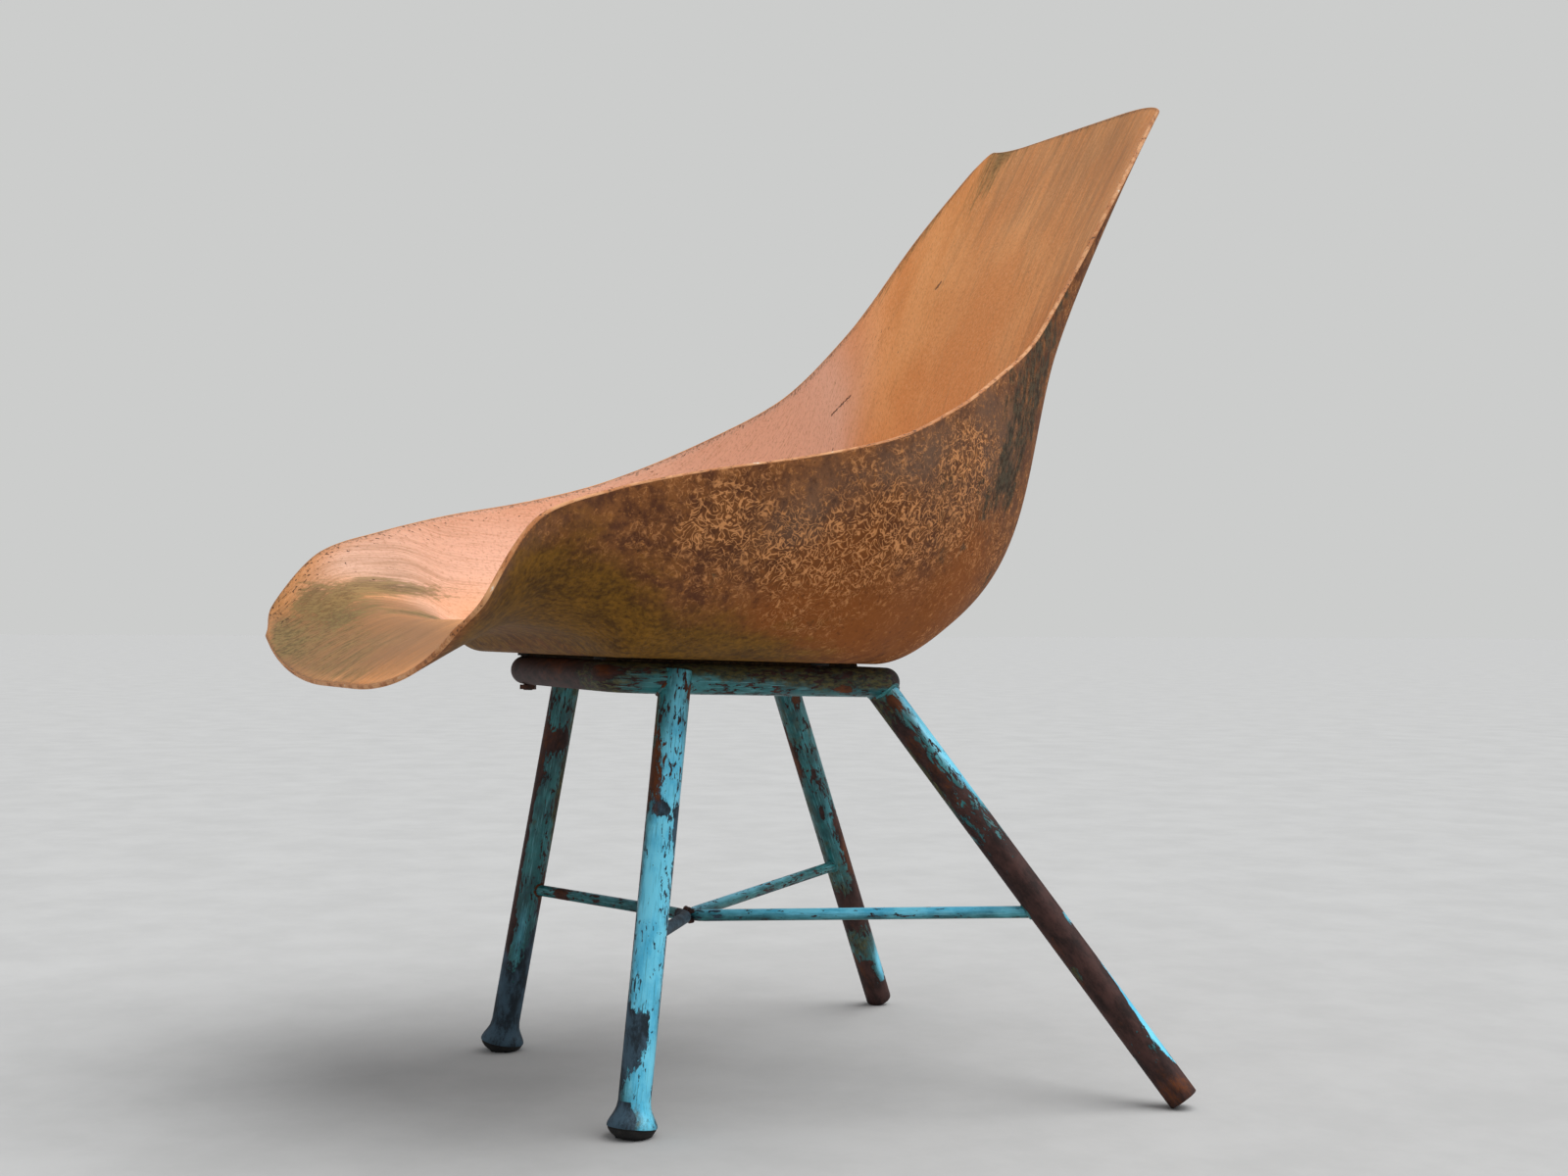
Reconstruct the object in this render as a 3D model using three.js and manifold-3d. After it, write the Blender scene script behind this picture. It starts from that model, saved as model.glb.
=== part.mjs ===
import * as THREE from "three";
import { mergeVertices } from "three/addons/utils/BufferGeometryUtils.js";
import Module from "manifold-3d";

// A moulded bucket seat on a ring of bent tube, with four splayed legs and bent rod stretchers.
// Millimetres, +Z up. The seat looks towards -Y, and left means the sitter's left, which is +X.

// The ring under the seat. Its own frame has the ring's middle at 0, 0 and the tube's centre at height 0.
const ringHeight = 341.5;
const ringRakeDegrees = 1.66;
const ringFrontReach = 129;
const ringBackReach = 130;
const ringFrontHalfWidth = 140;
const ringBackHalfWidth = 98;
const ringBendRadius = 30;
const ringTubeRadius = 12.5;
const ringTubeWall = 2;

// The legs. Tops are given where a leg's middle line meets the height of the ring, feet on the floor.
const legTubeRadius = 12.5;
const legTubeWall = 2;
const frontLeftLegSetback = 43;
const frontRightLegSetback = 50;
const frontLegOutset = 6;
const frontFootHalfWidth = 167;
const frontFootReach = 131;
const backLegSetIn = 16;
const backLeftFoot = { x: 262, y: 306 };
const backRightFoot = { x: -222, y: 285 };
const wornFlat = 0.8;

// The bell-shaped front feet, with a stem up inside the leg, and the rubber pads in their undersides.
const bellTop = 25;
const bellBottom = 8;
const bellRadius = 19.2;
const bellStemLength = 22;
const padFootRadius = 12;
const padPegRadius = 10;
const padPegLength = 6;

// The stretchers, two rods each bent to a shallow V, back to back at the middle.
const rodRadius = 5;
const frontRodHeight = 146;
const backRodHeight = 152;
const rodMeetingHeight = 138;
const rodMeetingReach = 17;
const rodBendLength = 20;

// The seat is held down by three rivets closed flush under the ring, and by a bolt at the front right.
const boltRadius = 4;
const boltHeadRadius = 9;
const boltHeadHeight = 4;
const boltTip = 0.6;
const frontBoltHalfSpacing = 99;
const backBoltReach = 50;
const washerRadius = 11;
const washerThickness = 1.2;
const spacerRadius = 10;
const spacerThickness = 2;
const nutAcrossFlats = 13;
const nutHeight = 4;

// The seat shell. It sits a little twisted on the ring, and its two sides are no longer alike.
const shellThickness = 4;
const shellTwistDegrees = 5;
const floorFrontMargin = 21;
const floorSideMargin = 9;
const floorBackReach = 98;

// Clearances between pieces that touch, and of the bolts in their holes.
const seatGap = 0.3;
const boltClearance = 0.4;

// How finely round shapes are drawn.
const tubeSides = 20;
const rodSides = 12;
const rodSteps = 30;
const bendSteps = 6;
const stepsPerStation = 4;
const floorSteps = 3;
const wallSteps = 10;

const shellBase = ringTubeRadius + seatGap + spacerThickness + seatGap;

// Stations of the shell from the lip to the top of the back, in the ring's frame. The rim is given by its
// half width, place and height, the middle line by its place and height. "flat" is the half width of the
// floor before the wall turns up, "sweep" how far round the wall turns in degrees, and "lean" how much
// higher the left rim stands than an even one, with the right rim as much lower.
const lipHeight = -15;
const topHeight = 532;
const stations = [
  { rim: [230, -317, 24], middle: [-323, lipHeight], flat: 40, sweep: 55, lean: 3 },
  { rim: [260, -304, 52], middle: [-273, 18], flat: 70, sweep: 65, lean: 3 },
  { rim: [255, -265, 105], middle: [-227, 37], flat: 100, sweep: 70, lean: 6 },
  { rim: [252, -212, 126], middle: [-182, 31], flat: 125, sweep: 73, lean: 6 },
  {
    rim: [263, -143, 145],
    middle: [-ringFrontReach - floorFrontMargin, shellBase],
    flat: ringFrontHalfWidth,
    sweep: 73,
    lean: 5,
  },
  { rim: [273, -71, 160], middle: [-60, shellBase], flat: ringFrontHalfWidth, sweep: 72, lean: 4 },
  { rim: [275, 7, 181], middle: [30, shellBase], flat: ringFrontHalfWidth - 5, sweep: 70, lean: 3 },
  {
    rim: [259, 75, 211],
    middle: [floorBackReach, shellBase],
    flat: ringBackHalfWidth + floorSideMargin,
    sweep: 68,
    lean: 4,
  },
  { rim: [234, 127, 240], middle: [165, 44], flat: 95, sweep: 71, lean: 4 },
  { rim: [206, 182, 276], middle: [221, 101], flat: 85, sweep: 71, lean: 3 },
  { rim: [178, 241, 342], middle: [246, 222], flat: 75, sweep: 70, lean: 0 },
  { rim: [158, 309, 440], middle: [295, 359], flat: 70, sweep: 76, lean: -4 },
  { rim: [130, 375, 530], middle: [381, topHeight], flat: 70, sweep: 81, lean: -8 },
];

const wasm = await Module();
wasm.setup();

const seatOrange = new THREE.MeshStandardMaterial({ color: 0xc8793f, roughness: 0.7 });
const framePaint = new THREE.MeshStandardMaterial({ color: 0x3e98a6, roughness: 0.5 });
const backPaint = new THREE.MeshStandardMaterial({ color: 0x6b4a48, roughness: 0.7 });
const darkSteel = new THREE.MeshStandardMaterial({ color: 0x4a3a34, roughness: 0.8, metalness: 0.4 });
const rubber = new THREE.MeshStandardMaterial({ color: 0x1c1b1b, roughness: 0.9 });

// Turns a closed geometry into a solid for joining and cutting.
function solidOf(geometry) {
  const bare = geometry.clone();
  bare.deleteAttribute("normal");
  bare.deleteAttribute("uv");
  const merged = mergeVertices(bare, 1e-4);
  return new wasm.Manifold(
    new wasm.Mesh({
      numProp: 3,
      vertProperties: merged.attributes.position.array,
      triVerts: new Uint32Array(merged.index.array),
    }),
  );
}

function pieceOf(name, solid, material) {
  const { numProp, vertProperties, triVerts } = solid.getMesh();
  const geometry = new THREE.BufferGeometry();
  const corners = new THREE.InterleavedBuffer(vertProperties, numProp);
  geometry.setAttribute("position", new THREE.InterleavedBufferAttribute(corners, 3, 0));
  geometry.setIndex(new THREE.BufferAttribute(triVerts, 1));
  const flat = geometry.toNonIndexed();
  flat.computeVertexNormals();
  const mesh = new THREE.Mesh(flat, material.clone());
  mesh.name = name;
  return mesh;
}

// A round solid turned about the line from start to end, from [radius, distance from start] pairs.
function turnedBetween(start, end, profile, sides = tubeSides) {
  const outline = profile.map(([radius, along]) => new THREE.Vector2(radius, along));
  const direction = new THREE.Vector3().subVectors(end, start).normalize();
  const turn = new THREE.Quaternion().setFromUnitVectors(new THREE.Vector3(0, 1, 0), direction);
  const geometry = new THREE.LatheGeometry(outline, sides);
  return solidOf(geometry.applyQuaternion(turn).translate(start.x, start.y, start.z));
}

function barBetween(start, end, radius, sides = tubeSides) {
  const length = start.distanceTo(end);
  const profile = [
    [0, 0],
    [radius, 0],
    [radius, length],
    [0, length],
  ];
  return turnedBetween(start, end, profile, sides);
}

function tubeBetween(start, end, radius, wall) {
  const length = start.distanceTo(end);
  const profile = [
    [radius - wall, 0],
    [radius, 0],
    [radius, length],
    [radius - wall, length],
    [radius - wall, 0],
  ];
  return turnedBetween(start, end, profile);
}

// A closed skin over a grid of points whose rows and columns both run round.
function closedSkin(grid) {
  const rows = grid.length;
  const columns = grid[0].length;
  const positions = grid.flat().flatMap((point) => point.toArray());
  const faces = [];
  for (let i = 0; i < rows; i++) {
    for (let j = 0; j < columns; j++) {
      const a = i * columns + j;
      const b = i * columns + ((j + 1) % columns);
      const c = ((i + 1) % rows) * columns + j;
      const d = ((i + 1) % rows) * columns + ((j + 1) % columns);
      faces.push(a, c, b, b, c, d);
    }
  }
  const geometry = new THREE.BufferGeometry();
  geometry.setAttribute("position", new THREE.Float32BufferAttribute(positions, 3));
  geometry.setIndex(faces);
  return solidOf(geometry);
}

// Points round the ring's middle line, each with the outward direction there.
const ringCorners = [
  new THREE.Vector2(ringFrontHalfWidth, -ringFrontReach),
  new THREE.Vector2(ringBackHalfWidth, ringBackReach),
  new THREE.Vector2(-ringBackHalfWidth, ringBackReach),
  new THREE.Vector2(-ringFrontHalfWidth, -ringFrontReach),
];

function ringLine() {
  const line = [];
  ringCorners.forEach((corner, i) => {
    const before = ringCorners[(i + 3) % 4].clone().sub(corner).normalize();
    const after = ringCorners[(i + 1) % 4].clone().sub(corner).normalize();
    const halfAngle = Math.acos(before.dot(after)) / 2;
    const inward = before.clone().add(after).normalize();
    const centre = corner.clone().addScaledVector(inward, ringBendRadius / Math.sin(halfAngle));
    const middle = Math.atan2(-inward.y, -inward.x);
    const half = Math.PI / 2 - halfAngle;
    for (let k = 0; k <= bendSteps; k++) {
      const angle = middle - half + (2 * half * k) / bendSteps;
      const outward = new THREE.Vector2(Math.cos(angle), Math.sin(angle));
      line.push({ point: centre.clone().addScaledVector(outward, ringBendRadius), outward });
    }
  });
  return line;
}

function ringSolid(radius) {
  const grid = ringLine().map(({ point, outward }) =>
    Array.from({ length: tubeSides }, (_, j) => {
      const angle = (2 * Math.PI * j) / tubeSides;
      const across = point.clone().addScaledVector(outward, radius * Math.cos(angle));
      return new THREE.Vector3(across.x, across.y, radius * Math.sin(angle));
    }),
  );
  return closedSkin(grid);
}

function ringHalfWidthAt(reach) {
  const share = (reach + ringFrontReach) / (ringFrontReach + ringBackReach);
  return ringFrontHalfWidth + (ringBackHalfWidth - ringFrontHalfWidth) * share;
}

// A smooth run through one value per station that never passes a peak or hollow of its own.
function runThrough(values, place) {
  const last = values.length - 1;
  const from = Math.min(Math.floor(place), last - 1);
  const step = (k) => values[k + 1] - values[k];
  const slope = (k) => {
    const before = step(Math.max(k - 1, 0));
    const after = step(Math.min(k, last - 1));
    return before * after > 0 ? (2 * before * after) / (before + after) : 0;
  };
  const t = place - from;
  const rise = t * t * (3 - 2 * t);
  const leaving = t * (1 - t) * (1 - t) * slope(from);
  const arriving = -t * t * (1 - t) * slope(from + 1);
  return values[from] + step(from) * rise + leaving + arriving;
}

const stationRuns = {
  rimHalfWidth: stations.map(({ rim }) => rim[0]),
  rimReach: stations.map(({ rim }) => rim[1]),
  rimHeight: stations.map(({ rim }) => rim[2]),
  middleReach: stations.map(({ middle }) => middle[0]),
  middleHeight: stations.map(({ middle }) => middle[1]),
  flat: stations.map(({ flat }) => flat),
  sweep: stations.map(({ sweep }) => THREE.MathUtils.degToRad(sweep)),
  lean: stations.map(({ lean }) => lean),
};

// A point on the shell's outer skin. "across" runs from -1 at the right rim to 1 at the left rim: the
// floor is flat up to floorShare, and the wall turns up from there along part of an ellipse.
const floorShare = floorSteps / (floorSteps + wallSteps);

function shellPoint(place, across) {
  const at = (key) => runThrough(stationRuns[key], place);
  const side = Math.sign(across);
  const share = Math.abs(across);
  const flat = at("flat");
  if (share <= floorShare) {
    return new THREE.Vector3((side * flat * share) / floorShare, at("middleReach"), at("middleHeight"));
  }
  const turned = (share - floorShare) / (1 - floorShare);
  const sweep = at("sweep");
  const out = Math.sin(sweep * turned) / Math.sin(sweep);
  const up = (1 - Math.cos(sweep * turned)) / (1 - Math.cos(sweep));
  const lean = side * at("lean") * turned * turned;
  return new THREE.Vector3(
    side * (flat + (at("rimHalfWidth") - flat) * out),
    at("middleReach") + (at("rimReach") - at("middleReach")) * up,
    at("middleHeight") + (at("rimHeight") - at("middleHeight")) * up + lean,
  );
}

function shellInward(place, across) {
  const reach = 0.02;
  const lastPlace = stations.length - 1;
  const along = shellPoint(Math.min(place + reach, lastPlace), across).sub(
    shellPoint(Math.max(place - reach, 0), across),
  );
  const sideways = shellPoint(place, Math.min(across + reach, 1)).sub(
    shellPoint(place, Math.max(across - reach, -1)),
  );
  return sideways.cross(along).normalize();
}

// The shell as one skin that runs over the outside, round one rim, back over the inside, and closes.
function shellSolid() {
  const rows = (stations.length - 1) * stepsPerStation + 1;
  const half = floorSteps + wallSteps;
  const acrosses = Array.from({ length: 2 * half + 1 }, (_, j) => (j - half) / half);
  const outside = [];
  const inside = [];
  for (let i = 0; i < rows; i++) {
    const place = i / stepsPerStation;
    outside.push(acrosses.map((across) => shellPoint(place, across)));
    inside.push(
      acrosses.map((across) =>
        shellPoint(place, across).addScaledVector(shellInward(place, across), shellThickness),
      ),
    );
  }
  const columns = acrosses.length;
  const positions = [...outside.flat(), ...inside.flat()].flatMap((point) => point.toArray());
  const faces = [];
  const quad = (a, b, c, d) => faces.push(a, b, c, a, c, d);
  const inner = rows * columns;
  for (let i = 0; i + 1 < rows; i++) {
    for (let j = 0; j + 1 < columns; j++) {
      const a = i * columns + j;
      quad(a, a + columns, a + columns + 1, a + 1);
      quad(inner + a, inner + a + 1, inner + a + columns + 1, inner + a + columns);
    }
    const right = i * columns;
    const left = right + columns - 1;
    quad(right, inner + right, inner + right + columns, right + columns);
    quad(left, left + columns, inner + left + columns, inner + left);
  }
  for (let j = 0; j + 1 < columns; j++) {
    const top = (rows - 1) * columns + j;
    quad(j, j + 1, inner + j + 1, inner + j);
    quad(top, inner + top, inner + top + 1, top + 1);
  }
  const geometry = new THREE.BufferGeometry();
  geometry.setAttribute("position", new THREE.Float32BufferAttribute(positions, 3));
  geometry.setIndex(faces);
  return solidOf(geometry.rotateZ(THREE.MathUtils.degToRad(shellTwistDegrees)));
}

const chair = new THREE.Group();
const seat = new THREE.Group();
seat.position.z = ringHeight;
seat.rotation.x = -THREE.MathUtils.degToRad(ringRakeDegrees);
seat.updateMatrix();
chair.add(seat);

// Seat fixings, in the ring's frame.
const backBoltHalfSpacing = ringHalfWidthAt(backBoltReach);
const boltPlaces = [
  ["front_left", frontBoltHalfSpacing, -ringFrontReach],
  ["front_right", -frontBoltHalfSpacing, -ringFrontReach],
  ["back_left", backBoltHalfSpacing, backBoltReach],
  ["back_right", -backBoltHalfSpacing, backBoltReach],
];
const holeRadius = boltRadius + boltClearance;
const shellTop = shellBase + shellThickness;
const washerBase = shellTop + seatGap;
const headBase = washerBase + washerThickness + seatGap;
const rivetBottom = -ringTubeRadius + seatGap;
const nutTop = -ringTubeRadius - seatGap;
const boltBottom = nutTop - nutHeight - boltTip;
const boltedPlace = "front_right";
const above = (x, y, z) => new THREE.Vector3(x, y, z);

let shell = shellSolid();
let ring = ringSolid(ringTubeRadius).subtract(ringSolid(ringTubeRadius - ringTubeWall));

for (const [place, x, y] of boltPlaces) {
  const hole = barBetween(above(x, y, boltBottom), above(x, y, headBase), holeRadius, rodSides);
  shell = shell.subtract(hole);
  ring = ring.subtract(hole);

  const domeRadius = (boltHeadRadius ** 2 + boltHeadHeight ** 2) / (2 * boltHeadHeight);
  const domeAngle = Math.asin(boltHeadRadius / domeRadius);
  const domeSteps = 5;
  const dome = Array.from({ length: domeSteps + 1 }, (_, k) => {
    const angle = domeAngle * (1 - k / domeSteps);
    const rise = boltHeadHeight - domeRadius * (1 - Math.cos(angle));
    return [domeRadius * Math.sin(angle), rise];
  });
  const isBolt = place === boltedPlace;
  const bottom = isBolt ? boltBottom : rivetBottom;
  const pinProfile = [
    [0, 0],
    [boltRadius, 0],
    [boltRadius, headBase - bottom],
    ...dome.map(([radius, rise]) => [radius, headBase - bottom + rise]),
  ];
  const pin = turnedBetween(above(x, y, bottom), above(x, y, headBase), pinProfile, rodSides);
  seat.add(pieceOf(isBolt ? `bolt_${place}` : `rivet_${place}`, pin, darkSteel));

  const washer = barBetween(above(x, y, washerBase), above(x, y, washerBase + washerThickness), washerRadius);
  seat.add(pieceOf(`washer_${place}`, washer.subtract(hole), darkSteel));

  const spacerBase = ringTubeRadius + seatGap;
  const spacer = barBetween(above(x, y, spacerBase), above(x, y, spacerBase + spacerThickness), spacerRadius);
  seat.add(pieceOf(`spacer_${place}`, spacer.subtract(hole), rubber));

  if (isBolt) {
    const nutRadius = nutAcrossFlats / Math.sqrt(3);
    const nut = barBetween(above(x, y, nutTop - nutHeight), above(x, y, nutTop), nutRadius, 6);
    seat.add(pieceOf(`nut_${place}`, nut.subtract(hole), darkSteel));
  }
}
seat.add(pieceOf("seat_shell", shell, seatOrange));
seat.add(pieceOf("ring_frame", ring, framePaint));

// Everything below the ring stands in the floor's frame.
const floorCutter = solidOf(new THREE.BoxGeometry(2000, 2000, 100).translate(0, 0, -50));
const ringRelief = solidOf(
  (() => {
    const { vertProperties, triVerts } = ringSolid(ringTubeRadius + seatGap).getMesh();
    const geometry = new THREE.BufferGeometry();
    geometry.setAttribute("position", new THREE.Float32BufferAttribute(vertProperties, 3));
    geometry.setIndex(new THREE.BufferAttribute(triVerts, 1));
    return geometry.applyMatrix4(seat.matrix);
  })(),
);

function onRing(x, y, z = 0) {
  return new THREE.Vector3(x, y, z).applyMatrix4(seat.matrix);
}

function frontLegTop(side, setback) {
  const reach = -ringFrontReach + setback;
  return onRing(side * (ringHalfWidthAt(reach) + frontLegOutset), reach);
}

function backLegTop(side) {
  const reach = ringBackReach - backLegSetIn;
  return onRing(side * (ringHalfWidthAt(reach) - backLegSetIn / 2), reach);
}

const legs = {
  front_left: {
    top: frontLegTop(1, frontLeftLegSetback),
    foot: above(frontFootHalfWidth, -frontFootReach, 0),
  },
  front_right: {
    top: frontLegTop(-1, frontRightLegSetback),
    foot: above(-frontFootHalfWidth, -frontFootReach, 0),
  },
  back_left: { top: backLegTop(1), foot: above(backLeftFoot.x, backLeftFoot.y, 0) },
  back_right: { top: backLegTop(-1), foot: above(backRightFoot.x, backRightFoot.y, 0) },
};

function pointAlong({ top, foot }, distance) {
  const direction = new THREE.Vector3().subVectors(top, foot).normalize();
  return foot.clone().addScaledVector(direction, distance);
}

function pointAtHeight({ top, foot }, height) {
  return foot.clone().lerp(top, (height - foot.z) / (top.z - foot.z));
}

// Front legs: the tube ends on a bell foot whose stem is pushed up inside it, and the bell grips a pad.
// Their tops run a little past the ring's middle, because they are welded to its outer side.
const overlapPastMiddle = 7;
for (const side of ["front_left", "front_right"]) {
  const leg = legs[side];
  const start = pointAlong(leg, bellTop + seatGap);
  const end = pointAlong(leg, leg.top.distanceTo(leg.foot) + overlapPastMiddle);
  const tube = tubeBetween(start, end, legTubeRadius, legTubeWall).subtract(ringRelief);
  chair.add(pieceOf(`leg_${side}`, tube, framePaint));

  const stemRadius = legTubeRadius - legTubeWall - seatGap;
  const bellMiddle = (bellTop + bellBottom) / 2;
  const bellCurve = new THREE.SplineCurve([
    new THREE.Vector2(bellRadius, bellBottom),
    new THREE.Vector2(bellRadius - 0.5, bellBottom + 3),
    new THREE.Vector2(bellRadius - 3.5, bellMiddle),
    new THREE.Vector2(legTubeRadius + 1, bellTop - 3),
    new THREE.Vector2(legTubeRadius, bellTop),
  ]);
  const recessTop = bellBottom + padPegLength;
  const bellProfile = [
    [0, recessTop],
    [padPegRadius + seatGap, recessTop],
    [padPegRadius + seatGap, bellBottom],
    ...bellCurve.getPoints(10).map(({ x, y }) => [x, y]),
    [stemRadius, bellTop],
    [stemRadius, bellTop + bellStemLength],
    [0, bellTop + bellStemLength],
  ];
  chair.add(pieceOf(`bell_foot_${side}`, turnedBetween(leg.foot, leg.top, bellProfile), framePaint));

  // The pad's rounded side runs from the bell's edge in to the part that stands on the floor.
  const padSide = new THREE.QuadraticBezierCurve(
    new THREE.Vector2(padFootRadius, 0.5),
    new THREE.Vector2(bellRadius - 1, 2),
    new THREE.Vector2(bellRadius - 0.5, bellBottom - seatGap),
  );
  const padProfile = [
    [0, -bellBottom],
    [padFootRadius, -bellBottom],
    ...padSide.getPoints(4).map(({ x, y }) => [x, y]),
    [padPegRadius, bellBottom - seatGap],
    [padPegRadius, recessTop - seatGap],
    [0, recessTop - seatGap],
  ];
  const pad = turnedBetween(leg.foot, leg.top, padProfile);
  chair.add(pieceOf(`foot_pad_${side}`, pad.subtract(floorCutter), rubber));
}

// Back legs: bare cut tubes that stand on the edge of their ends, worn a little flat there.
for (const side of ["back_left", "back_right"]) {
  const leg = legs[side];
  const run = Math.hypot(leg.top.x - leg.foot.x, leg.top.y - leg.foot.y);
  const lean = Math.atan2(run, leg.top.z);
  leg.foot.z = legTubeRadius * Math.sin(lean) - wornFlat;
  const tube = tubeBetween(leg.foot, leg.top, legTubeRadius, legTubeWall);
  chair.add(pieceOf(`leg_${side}`, tube.subtract(ringRelief).subtract(floorCutter), backPaint));
}

// A stretcher from one leg to the other, bent where it passes the middle point, its ends cut to the legs.
function stretcher(name, leftLeg, rightLeg, height, middle) {
  const left = pointAtHeight(leftLeg, height);
  const right = pointAtHeight(rightLeg, height);
  const toLeft = new THREE.Vector3().subVectors(left, middle).normalize();
  const toRight = new THREE.Vector3().subVectors(right, middle).normalize();
  const both = new THREE.Vector3().addVectors(toLeft, toRight);
  const corner = middle.clone().addScaledVector(both, -rodBendLength / 4);
  const bendStart = corner.clone().addScaledVector(toLeft, rodBendLength);
  const bendEnd = corner.clone().addScaledVector(toRight, rodBendLength);
  const path = new THREE.CurvePath();
  path.add(new THREE.LineCurve3(left, bendStart));
  path.add(new THREE.QuadraticBezierCurve3(bendStart, corner, bendEnd));
  path.add(new THREE.LineCurve3(bendEnd, right));
  const section = new THREE.Shape().absarc(0, 0, rodRadius, 0, 2 * Math.PI, false);
  const options = { extrudePath: path, steps: rodSteps, curveSegments: rodSides / 2, bevelEnabled: false };
  let rod = solidOf(new THREE.ExtrudeGeometry(section, options));
  for (const leg of [leftLeg, rightLeg]) {
    rod = rod.subtract(barBetween(leg.foot, leg.top, legTubeRadius + seatGap));
  }
  chair.add(pieceOf(name, rod, framePaint));
}

const rodOffset = rodRadius + seatGap / 2;
const frontMiddle = above(0, -rodMeetingReach - rodOffset, rodMeetingHeight);
const backMiddle = above(0, -rodMeetingReach + rodOffset, rodMeetingHeight);
stretcher("stretcher_front", legs.front_left, legs.front_right, frontRodHeight, frontMiddle);
stretcher("stretcher_back", legs.back_left, legs.back_right, backRodHeight, backMiddle);

// The origin is on the floor, under the middle of the chair's bounding box.
const bounds = new THREE.Box3().setFromObject(chair, true);
const middleOfBounds = bounds.getCenter(new THREE.Vector3());
chair.position.set(-middleOfBounds.x, -middleOfBounds.y, 0);

export default chair;
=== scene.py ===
import functools
import itertools
import math

import bpy
import numpy as np
from mathutils import Matrix, Vector


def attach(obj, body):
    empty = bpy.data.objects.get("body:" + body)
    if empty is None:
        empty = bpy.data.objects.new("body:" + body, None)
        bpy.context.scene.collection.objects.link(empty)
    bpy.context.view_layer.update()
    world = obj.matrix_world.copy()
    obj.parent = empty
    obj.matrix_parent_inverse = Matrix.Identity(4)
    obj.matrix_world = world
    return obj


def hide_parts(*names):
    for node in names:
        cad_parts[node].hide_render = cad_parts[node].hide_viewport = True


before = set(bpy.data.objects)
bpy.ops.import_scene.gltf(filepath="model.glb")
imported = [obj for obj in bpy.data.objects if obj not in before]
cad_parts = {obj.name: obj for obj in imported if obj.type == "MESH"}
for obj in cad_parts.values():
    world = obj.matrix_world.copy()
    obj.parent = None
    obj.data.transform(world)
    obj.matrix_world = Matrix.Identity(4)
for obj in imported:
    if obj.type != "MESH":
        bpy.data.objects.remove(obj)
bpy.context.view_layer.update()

# Sizes are in millimetres until a mesh is made. These are the CAD model's own.
MM = 0.001
RING_HEIGHT = 341.5
RING_RAKE = math.radians(1.66)
RING_CENTRE = np.array([-5.471, -32.339])
RING_FRONT_REACH = 129
RING_BACK_REACH = 130
RING_FRONT_HALF_WIDTH = 140
RING_BACK_HALF_WIDTH = 98
RING_BEND_RADIUS = 30
TUBE_RADIUS = 12.5
TUBE_WALL = 2
ROD_RADIUS = 5
SHELL_TWIST = math.radians(5)
SHELL_THICKNESS = 4
SPACER_THICKNESS = 2
SEAT_GAP = 0.3
SHELL_BASE = TUBE_RADIUS + SPACER_THICKNESS + 2 * SEAT_GAP
BELL_TOP = 25
PAD_WEAR = 1.2
# Where the legs' tops are on the ring, and where the two rods meet.
FRONT_LEG_OUTSET = 6
FRONT_LEG_OVERRUN = 7
BACK_LEG_SETBACK = 16
BACK_LEG_INSET = 8
ROD_MEETING = (0, -17, 138)

# The side the chair is looked at from in the photo.
PHOTO_AZIMUTH = math.radians(64.9)
NEAR_SIDE = np.array([math.sin(PHOTO_AZIMUTH), -math.cos(PHOTO_AZIMUTH), 0])


def turned(points, angle, first, second):
    """Points turned from one axis towards the next."""
    result = points.copy()
    result[..., first] = points[..., first] * math.cos(angle) - points[..., second] * math.sin(angle)
    result[..., second] = points[..., first] * math.sin(angle) + points[..., second] * math.cos(angle)
    return result


def from_ring(points):
    """From the ring's own frame to the chair's."""
    points = turned(np.asarray(points, float), -RING_RAKE, 1, 2)
    return points + np.array([RING_CENTRE[0], RING_CENTRE[1], RING_HEIGHT])


def ring_half_width(reach):
    """Half the ring's width, this far behind its middle."""
    share = (reach + RING_FRONT_REACH) / (RING_FRONT_REACH + RING_BACK_REACH)
    return RING_FRONT_HALF_WIDTH + (RING_BACK_HALF_WIDTH - RING_FRONT_HALF_WIDTH) * share


def front_leg_top(side, setback):
    reach = -RING_FRONT_REACH + setback
    return from_ring([side * (ring_half_width(reach) + FRONT_LEG_OUTSET), reach, 0])


def back_leg_top(side):
    reach = RING_BACK_REACH - BACK_LEG_SETBACK
    return from_ring([side * (ring_half_width(reach) - BACK_LEG_INSET), reach, 0])


def on_floor(x, y, z=0):
    return np.array([x + RING_CENTRE[0], y + RING_CENTRE[1], z], float)


# Each leg's middle line, from its foot to its top. A tilted back leg stands on its edge, so the middle of its
# end is off the floor.
LEGS = {
    "front_left": (on_floor(167, -131), front_leg_top(1, 43)),
    "front_right": (on_floor(-167, -131), front_leg_top(-1, 50)),
    "back_left": (on_floor(262, 306, 6.85), back_leg_top(1)),
    "back_right": (on_floor(-222, 285, 5.9), back_leg_top(-1)),
}


def linear(code):
    """A colour as it is seen, such as "c8793f", as the light it gives back."""
    parts = [int(code[i : i + 2], 16) / 255 for i in (0, 2, 4)]
    return [p / 12.92 if p <= 0.04045 else ((p + 0.055) / 1.055) ** 2.4 for p in parts] + [1.0]


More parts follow.
